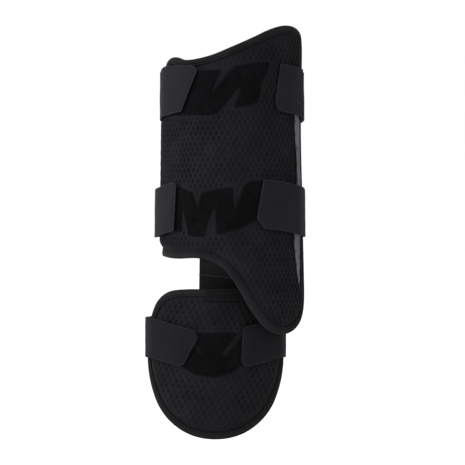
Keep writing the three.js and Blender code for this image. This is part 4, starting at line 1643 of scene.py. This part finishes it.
@dataclass
class LegGuard:
    """The guard: its sizes, panels, patches and straps."""

    shin_reach: Reach = Reach(left=117.0 * MM, right=90.0 * MM, above=119.5 * MM, below=189.0 * MM)
    foot_reach: Reach = Reach(left=78.0 * MM, right=78.0 * MM, above=74.4 * MM, below=74.4 * MM)
    foot_place: tuple[float, float, float] = (-18.9 * MM, -14.0 * MM, -221.6 * MM)
    hook: float = 1.0 * MM
    strip_cloth: float = 1.0 * MM
    strap_width: float = 50.0 * MM
    foot_strap_width: float = 41.0 * MM
    upper_strap_up: float = 55.6 * MM
    middle_strap_down: float = 61.0 * MM
    foot_strap_up: float = 15.6 * MM

    def __post_init__(self) -> None:
        """Set the panels and patches out."""
        self.shin = self._shin()
        self.foot = self._foot()
        self.patches = self._patches()
        for panel in (self.shin, self.foot):
            sewn = [patch for patch in self.patches.values() if patch.panel is panel]
            panel.sewn_over = tuple(patch.outline for patch in sewn)

    def _shin(self) -> Panel:
        """The shin shell, pressed in where the upper strap crosses its sides.

        Returns:
            The panel.
        """
        reach = self.shin_reach
        form = LegForm(
            half_width=67.4 * MM,
            front=70.0 * MM,
            back=56.0 * MM,
            taper=0.025,
            bow=-5.0 * MM,
            middle=(reach.above - reach.below) / 2.0,
            half_height=(reach.above + reach.below) / 2.0,
            origin=(0.0, 0.0, 0.0),
        )
        sides = ((-0.86, reach.left, 3.0 * MM), (0.92, reach.right, 4.0 * MM))
        strapped = (
            Pressed(share * side, self.upper_strap_up - drop, 0.2 * side, 0.5 * self.strap_width)
            for share, side, drop in sides
        )
        return Panel(
            "shin_cover",
            "shin_pad",
            "shin_binding",
            form,
            reach,
            Outline.smooth(np.array([reach.spot(row.across, row.up) for row in SHIN_TABLE])),
            Padding(full=10.0 * MM, rim=5.0 * MM),
            Dimples(),
            seed=11,
            side_cloth=GAP + self.strip_cloth,
            strapped=tuple(strapped),
        )

    def _foot(self) -> Panel:
        """The domed foot pad.

        Returns:
            The panel.
        """
        reach = self.foot_reach
        form = LegForm(
            half_width=66.0 * MM,
            front=44.0 * MM,
            back=40.0 * MM,
            taper=0.0,
            bow=9.0 * MM,
            middle=0.0,
            half_height=reach.above,
            origin=self.foot_place,
        )
        rows = [*FOOT_TABLE, *(Cut(-row.across, row.up) for row in reversed(FOOT_TABLE[1:-1]))]
        return Panel(
            "foot_cover",
            "foot_pad",
            "foot_binding",
            form,
            reach,
            Outline.smooth(np.array([reach.spot(row.across, row.up) for row in rows])),
            Padding(full=8.0 * MM, rim=4.0 * MM),
            Dimples(pitch=6.2 * MM, row_pitch=5.3 * MM, lean=0.15, depth=1.05 * MM),
            seed=23,
        )

    def _patches(self) -> dict[str, LoopPatch]:
        """The loop patches, each where its strap's tabs close.

        Returns:
            The patches, by where they are.
        """
        left = self.shin_reach.left
        rows = {
            "upper": (self.shin, UPPER_PATCH, -0.154 * left, self.upper_strap_up, 0.013, 100.0, 53.0),
            "lower": (self.shin, LOWER_PATCH, -0.162 * left, -self.middle_strap_down, 0.053, 130.0, 57.0),
            "foot": (self.foot, FOOT_PATCH, 0.0, self.foot_strap_up, 0.1, 92.0, 45.0),
        }
        return {
            key: LoopPatch(
                f"{key}_loop_patch",
                f"loop_patch_{key}",
                panel,
                table,
                across,
                up - drop * height * MM,
                width * MM,
                height * MM,
                seed=seed,
            )
            for seed, (key, row) in enumerate(rows.items(), 3)
            for panel, table, across, up, drop, width, height in [row]
        }

    def over_mesh(self, panel: Panel) -> float:
        """The lift of a tab whose hook pad grips the mesh."""
        return panel.padding.full + GAP + self.hook + TAB_GAP

    def over_patch(self, panel: Panel) -> float:
        """The lift of a tab whose hook pad grips a loop patch."""
        return self.over_mesh(panel) + self.patches["upper"].pile + GAP

    def upper_strap(self) -> Strap:
        """The strap at the top of the shin.

        Returns:
            The strap, not yet made.
        """
        shin, patch = self.shin, self.patches["upper"]
        mesh, pile = self.over_mesh(shin), self.over_patch(shin)
        crown, rim = shin.padding.binding_top + GAP, shin.padding.rim
        pressed = shin.padding.full + GAP - shin.squeeze
        return Strap(
            "upper_strap",
            "strap_upper",
            shin,
            self.strap_width,
            self.upper_strap_up,
            right_tip=patch.across + patch.width / 2.0 + 4.8 * MM,
            left_tip=0.27 * shin.reach.left,
            right_end=tab((0.476, 0.118), (0.360, 0.100), (-0.286, 0.000), (-0.474, 0.056)),
            left_end=tab((0.454, 0.086), (0.342, 0.000), (-0.400, 0.302), (-0.454, 0.324)),
            course=course(
                shin,
                [
                    (0.44, 0.032, mesh), (0.70, -0.016, mesh), (0.90, -0.060, crown),
                    (1.10, -0.080, rim * 0.8), (1.35, -0.070, rim * 0.3),
                ],
                0.0,
                [
                    (1.15, -0.075, rim * 0.9), (0.99, -0.075, crown), (0.80, -0.030, pressed),
                    (0.61, 0.0, pile), (0.27, 0.0, pile),
                ],
            ),
        )

    def middle_strap(self) -> Strap:
        """The strap in the middle of the shin.

        Returns:
            The strap, not yet made.
        """
        shin, patch = self.shin, self.patches["lower"]
        pile, crown, rim = self.over_patch(shin), shin.padding.binding_top + GAP, shin.padding.rim
        return Strap(
            "middle_strap",
            "strap_middle",
            shin,
            self.strap_width,
            -self.middle_strap_down,
            right_tip=patch.across + 0.289 * patch.width,
            left_tip=0.265 * patch.width - patch.across,
            right_end=tab((0.490, 0.120), (0.114, 0.060), (-0.296, 0.000), (-0.488, 0.118)),
            left_end=tab((0.498, 0.060), (0.390, 0.000), (-0.374, 0.046), (-0.498, 0.054)),
            course=course(
                shin,
                [
                    (0.21, 0.032, pile), (0.48, -0.016, pile), (0.70, -0.096, pile),
                    (0.90, -0.124, crown), (1.10, -0.136, rim * 1.1), (1.35, -0.140, rim * 0.3),
                ],
                -0.140,
                [
                    (1.20, -0.120, rim * 1.4), (0.90, -0.150, pile), (0.70, -0.110, pile),
                    (0.45, -0.006, pile),
                ],
            ),
        )

    def foot_strap(self) -> Strap:
        """The strap under the foot.

        Returns:
            The strap, not yet made.
        """
        foot, patch = self.foot, self.patches["foot"]
        pile, crown, rim = self.over_patch(foot), foot.padding.binding_top + GAP, foot.padding.rim
        sides = [(0.76, 0.259, pile), (1.00, 0.249, crown), (1.10, 0.239, rim * 0.7)]
        return Strap(
            "foot_strap",
            "strap_foot",
            foot,
            self.foot_strap_width,
            self.foot_strap_up,
            right_tip=0.252 * patch.width,
            left_tip=0.162 * patch.width,
            right_end=tab((0.500, 0.050), (0.300, 0.036), (-0.335, 0.000), (-0.490, 0.120)),
            left_end=tab((0.475, 0.115), (0.320, 0.000), (-0.440, 0.330), (-0.490, 0.400)),
            course=course(
                foot, [(0.25, 0.029, pile), *sides], 0.220, [*reversed(sides), (0.20, 0.0, pile)]
            ),
            # The foot strap takes the darker copy of the strap finish: painted shade
            finish=STRAP_IN_PAINTED_SHADE,
        )


@dataclass(frozen=True)
class StripRow:
    """A level of the ribbed strip: its height and its two edges, as shares of the shell's reach."""

    up: float
    left: float
    right: float


SIDE_STRIP = [
    StripRow(*row)
    for row in (
        (0.62, 0.80, 1.0), (0.45, 0.72, 1.0), (0.232, 0.682, 0.90), (0.046, 0.681, 0.87),
        (-0.024, 0.718, 0.85), (-0.222, 0.722, 0.805), (-0.38, 0.675, 0.78), (-0.507, 0.653, 0.765),
        (-0.678, 0.695, 0.750), (-0.775, 0.748, 0.752), (-0.83, 0.83, 0.755),
    )
]


@dataclass
class SideStrip:
    """The ribbed elastic strip between the mesh and the seam on the right of the shin shell."""

    shin: Panel
    cloth: float
    facet: float = 1.2 * MM
    steps: int = 120
    softening: int = 12
    from_seam: float = 0.4 * MM
    least_width: float = 0.5 * MM
    rib_pitch: float = 1.3 * MM
    rib_height: float = 0.4 * MM

    @cached_property
    def heights(self) -> Array:
        """The height of each level, from the top down."""
        return np.array([self.shin.reach.spot(0.0, row.up)[1] for row in SIDE_STRIP])

    def _soften(self, edge: Array) -> Array:
        """Round an edge's bends off."""
        kernel = np.hanning(2 * self.softening + 3)[1:-1]
        padded = np.pad(edge, self.softening, mode="reflect", reflect_type="odd")
        return np.convolve(padded, kernel / kernel.sum(), "valid")

    def _beside_seam(self, ups: Array) -> Array:
        """How far across the seam on the right is at heights.

        Args:
            ups: The heights.

        Returns:
            The place across at each height.
        """
        shin, reach = self.shin, self.shin.reach
        point, inward = shin.outline.at(np.linspace(0.0, shin.outline.length, 900))
        seam = point + inward * (shin.padding.binding + self.from_seam)
        seam = seam[(seam[:, 0] > 0.6 * reach.right) & (np.abs(seam[:, 1]) < 0.98 * reach.below)]
        seam = seam[np.argsort(seam[:, 1])]
        return np.interp(ups, seam[:, 1], seam[:, 0])

    def outline(self) -> Outline:
        """The strip's flat outline.

        Returns:
            The outline.
        """
        ups = np.linspace(self.heights[0], self.heights[-1], self.steps)
        rising = self.heights[::-1]
        left = np.interp(ups, rising, [row.left for row in reversed(SIDE_STRIP)])
        right = np.interp(ups, rising, [row.right for row in reversed(SIDE_STRIP)])
        left = self._soften(left) * self.shin.reach.right
        right = self._soften(np.minimum(self._beside_seam(ups), right * self.shin.reach.right))
        right = np.maximum(right, left + self.least_width)
        edges = [np.stack([left, ups], -1), np.stack([right, ups], -1)[::-1]]
        return Outline(np.vstack(edges)).even(self.facet)

    def lay(self, flat: Array, lift: Array) -> Array:
        """Points in space of places on the strip, which lies on the mesh cover."""
        base = self.shin.lift(flat, self.shin.outline.inset(flat)) + GAP
        return self.shin.form.place(*flat.T, base + lift)

    def dress(self) -> bpy.types.Object:
        """Build the strip.

        Returns:
            The strip.
        """
        outline = self.outline()
        across = np.arange(0.6, 1.0, 0.02) * self.shin.reach.right
        up = np.arange(self.heights[-1], self.heights[0], 0.24 * MM)
        cloth = Cloth(
            "ribbed_side_strip",
            outline,
            thickness=self.cloth * 0.7,
            facet=self.facet,
            form=self.shin.form,
            lay=self.lay,
            edge=0.6 * MM,
            spots=np.stack(np.meshgrid(across, up), -1).reshape(-1, 2),
            open_inset=0.2 * MM,
        )
        made = Trees.ribs().run(
            cloth.build(), Pitch=self.rib_pitch, Height=self.rib_height, Material=RIBBED.material
        )
        finish_piece(made, RIBBED, Slot.RIBBED, "side_strip")
        return made


@dataclass
class Connector:
    """The elastic that hangs the foot pad from the shin shell, and the patch that anchors it."""

    shin: Panel
    foot: Panel
    across: float = -8.3 * MM
    width: float = 55.6 * MM
    flare: float = 1.05
    thickness: float = 2.0 * MM
    sewn: float = 15.0 * MM
    hem_share: float = -0.605
    seam_up: float = -130.8 * MM
    seam_slope: float = 0.09
    ridge: float = 0.5 * MM
    ridge_width: float = 0.8 * MM
    fold: float = 0.3 * MM
    fold_width: float = 2.5 * MM
    fold_above: float = 5.0 * MM
    fold_slope: float = 0.25
    anchor_width: float = 38.5 * MM
    anchor_height: float = 10.5 * MM
    anchor_stitch: float = 1.8 * MM

    @property
    def hem(self) -> float:
        """The height of the shin shell's lower edge where the elastic leaves it."""
        return self.hem_share * self.shin.reach.below

    @property
    def foot_top(self) -> float:
        """The height of the foot pad's upper edge."""
        return self.foot.form.origin[2] + self.foot.reach.above

    def seam_at(self, aside: Array) -> Array:
        """The height of the slanting seam across the elastic."""
        return self.seam_up - self.seam_slope * (aside + self.width / 2.0)

    @property
    def clear(self) -> float:
        """How far inside the two forms the elastic lies."""
        return GAP + self.shin.padding.cloth + 2.0 * GAP

    def lay(self, flat: Array, lift: Array) -> Array:
        """Points in space of places on the elastic, which goes over from one form to the other.

        Args:
            flat: Places across and up the elastic.
            lift: Lifts above its underside.

        Returns:
            The points.
        """
        foot_x, _, foot_z = self.foot.form.origin
        aside, up = flat.T
        share = (1.0 - smoothstep(up, self.foot_top + self.clear, self.hem - self.clear))[:, None]
        depth = lift - self.clear - self.thickness
        above = self.shin.form.place((self.across + aside) * self.flare, up, depth)
        below = self.foot.form.place(self.across - foot_x + aside, up - foot_z, depth)
        return above * (1.0 - share) + below * share

    def relief(self, flat: Array, inset: Array) -> Array:
        """Raise the seam, and sag the cloth a little under it.

        Args:
            flat: Places on the elastic.
            inset: Their distances in from its edge; not used.

        Returns:
            The rise at each.
        """
        above = flat[:, 1] - self.seam_at(flat[:, 0])
        over = above - self.fold_above - self.fold_slope * flat[:, 0]
        ridge = np.exp(-((above / self.ridge_width) ** 2))
        fold = np.exp(-((over / self.fold_width) ** 2))
        return self.ridge * ridge + self.fold * fold

    def dress(self) -> bpy.types.Object:
        """Build the elastic.

        Returns:
            The elastic.
        """
        top, low, half = self.hem + self.sewn, self.foot_top - self.sewn, self.width / 2.0
        corners = np.array([(-half, top), (half, top), (half, low), (-half, low)])
        outline = Outline.rounded(corners, 0.5 * MM, 1.2 * MM)
        cloth = Cloth(
            "connector_elastic",
            outline,
            thickness=self.thickness,
            facet=1.1 * MM,
            form=self.shin.form,
            lay=self.lay,
            relief=self.relief,
        )
        made = finish_piece(cloth.build(), ELASTIC, Slot.CONNECTOR, "connector")
        return made

    def seam(self) -> bpy.types.Object:
        """Sew the pale line across the elastic.

        Returns:
            The stitches.
        """
        aside = np.linspace(-0.485, 0.485, 60) * self.width
        flat = np.stack([aside, self.seam_at(aside)], -1)
        line = self.lay(flat, np.full(len(flat), self.thickness + self.ridge))
        stitches = Stitching(pitch=2.4 * MM, length=2.3 * MM, width=0.6 * MM)
        facing = self.shin.form.facing(aside)
        made = stitches.sew("connector_seam", line, facing, False, PALE_THREAD)
        return finish_piece(made, PALE_THREAD, Slot.CONNECTOR)

    def _anchor_relief(self, flat: Array, inset: Array) -> Array:
        """Pull the anchor patch in along its box of stitches."""
        return -0.25 * MM * np.exp(-(((inset - self.anchor_stitch) / (0.5 * MM)) ** 2))

    def anchor(self) -> list[bpy.types.Object]:
        """Build the anchor patch on the foot pad's top edge, with its box of stitches.

        Returns:
            The patch and its stitches.
        """
        foot, size = self.foot, (self.anchor_width, self.anchor_height)
        base = foot.padding.binding_top + GAP
        top_middle = (self.across - foot.form.origin[0], foot.reach.above)
        corners = np.array([(-0.5, 0.0), (0.5, 0.0), (0.5, -1.0), (-0.5, -1.0)]) * size + top_middle
        outline = Outline.rounded(corners, 1.0 * MM, 0.8 * MM)
        cloth = Cloth(
            "anchor_patch",
            outline,
            thickness=1.2 * MM,
            facet=1.0 * MM,
            form=foot.form,
            lay=lambda flat, lift: foot.form.place(*flat.T, base + lift),
            relief=self._anchor_relief,
        )
        patch = finish_piece(cloth.build(), ANCHOR, Slot.CONNECTOR, "connector_anchor")
        box = outline.ring(self.anchor_stitch, 0.6 * MM)
        line, facing = foot.form.place(*box.T, base + 1.15 * MM), foot.form.facing(box[:, 0])
        stitches = Stitching(pitch=2.2 * MM, length=1.6 * MM)
        sewn = stitches.sew("anchor_stitches", line, facing, True, THREAD)
        finish_piece(sewn, THREAD, Slot.CONNECTOR)
        return [patch, sewn]


@dataclass(frozen=True)
class Light:
    """A square soft light that looks at a place."""

    name: str
    place: tuple[float, float, float]
    size: float
    power: float

    def hang(self, target: Vector) -> None:
        """Put the light up.

        Args:
            target: The place that it looks at.
        """
        data = bpy.data.lights.new(self.name, "AREA")
        data.energy, data.size = self.power, self.size
        light = show(self.name, data)
        light.location = self.place
        light.rotation_euler = (target - light.location).to_track_quat("-Z", "Y").to_euler()


@dataclass(frozen=True)
class Studio:
    """The pale floor, the white surroundings, the soft lights and the camera."""

    floor_down: float = 0.46
    floor_size: float = 40.0
    floor_white: float = 0.86
    floor_glow: float = 0.2
    surround: float = 1.0
    lit: tuple[float, float, float] = (0.0, 0.0, -0.08)
    camera_place: tuple[float, float, float] = (-0.0015, -1.4, -0.0882)
    focal_pixels: float = 1333.3
    frame_pixels: int = 465
    sensor: float = 36.0
    lights: tuple[Light, ...] = (
        Light("side", (-1.9, -0.3, 0.35), 0.9, 30.0),
        Light("key", (-0.8, -1.5, 0.9), 1.0, 12.0),
        Light("fill", (1.5, -1.3, 0.2), 1.0, 3.2),
    )

    def floor(self) -> None:
        """Lay the pale floor."""
        half = self.floor_size / 2.0
        mesh = bpy.data.meshes.new("floor")
        corners = [(-half, -half), (half, -half), (half, half), (-half, half)]
        mesh.from_pydata([(x, y, -self.floor_down) for x, y in corners], [], [(0, 1, 2, 3)])
        material = bpy.data.materials.new("pale_floor")
        material.use_nodes = True
        shader = material.node_tree.nodes["Principled BSDF"]
        shader.inputs["Base Color"].default_value = (*3 * (self.floor_white,), 1.0)
        shader.inputs["Roughness"].default_value = 1.0
        shader.inputs["Emission Color"].default_value = (1.0, 1.0, 1.0, 1.0)
        shader.inputs["Emission Strength"].default_value = self.floor_glow
        mesh.materials.append(material)
        show("floor", mesh)

    def camera(self) -> None:
        """Stand the camera where the photograph was taken from."""
        data = bpy.data.cameras.new("camera")
        data.sensor_width = self.sensor
        data.lens = self.focal_pixels * self.sensor / self.frame_pixels
        camera = show("camera", data)
        camera.location = self.camera_place
        camera.rotation_euler = (math.pi / 2.0, 0.0, 0.0)
        bpy.context.scene.camera = camera

    def build(self) -> None:
        """Set up the world, the floor, the lights and the camera."""
        scene = bpy.context.scene
        scene.view_settings.view_transform = "Standard"
        world = bpy.data.worlds.new("studio")
        world.use_nodes = True
        background = world.node_tree.nodes["Background"]
        background.inputs["Color"].default_value = (1.0, 1.0, 1.0, 1.0)
        background.inputs["Strength"].default_value = self.surround
        scene.world = world
        self.floor()
        self.camera()
        for light in self.lights:
            light.hang(Vector(self.lit))


def main() -> None:
    """Load the frame and build each sub-assembly round it."""
    logging.basicConfig(level=logging.INFO, format="%(message)s")
    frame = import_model()
    Studio().build()
    guard = LegGuard()
    for panel in (guard.shin, guard.foot):
        panel.cover()
        panel.binding()
        panel.binding_stitches()
    SideStrip(guard.shin, guard.strip_cloth).dress()
    for patch in guard.patches.values():
        patch.dress()
    for strap in (guard.upper_strap(), guard.middle_strap(), guard.foot_strap()):
        strap.dress()
    connector = Connector(guard.shin, guard.foot)
    connector.dress()
    connector.seam()
    connector.anchor()
    for name, node in frame["nodes"].items():
        if name.startswith("hook_"):
            node.data.materials.clear()
            node.data.materials.append(HOOKS.material)


if __name__ == "__main__":
    main()
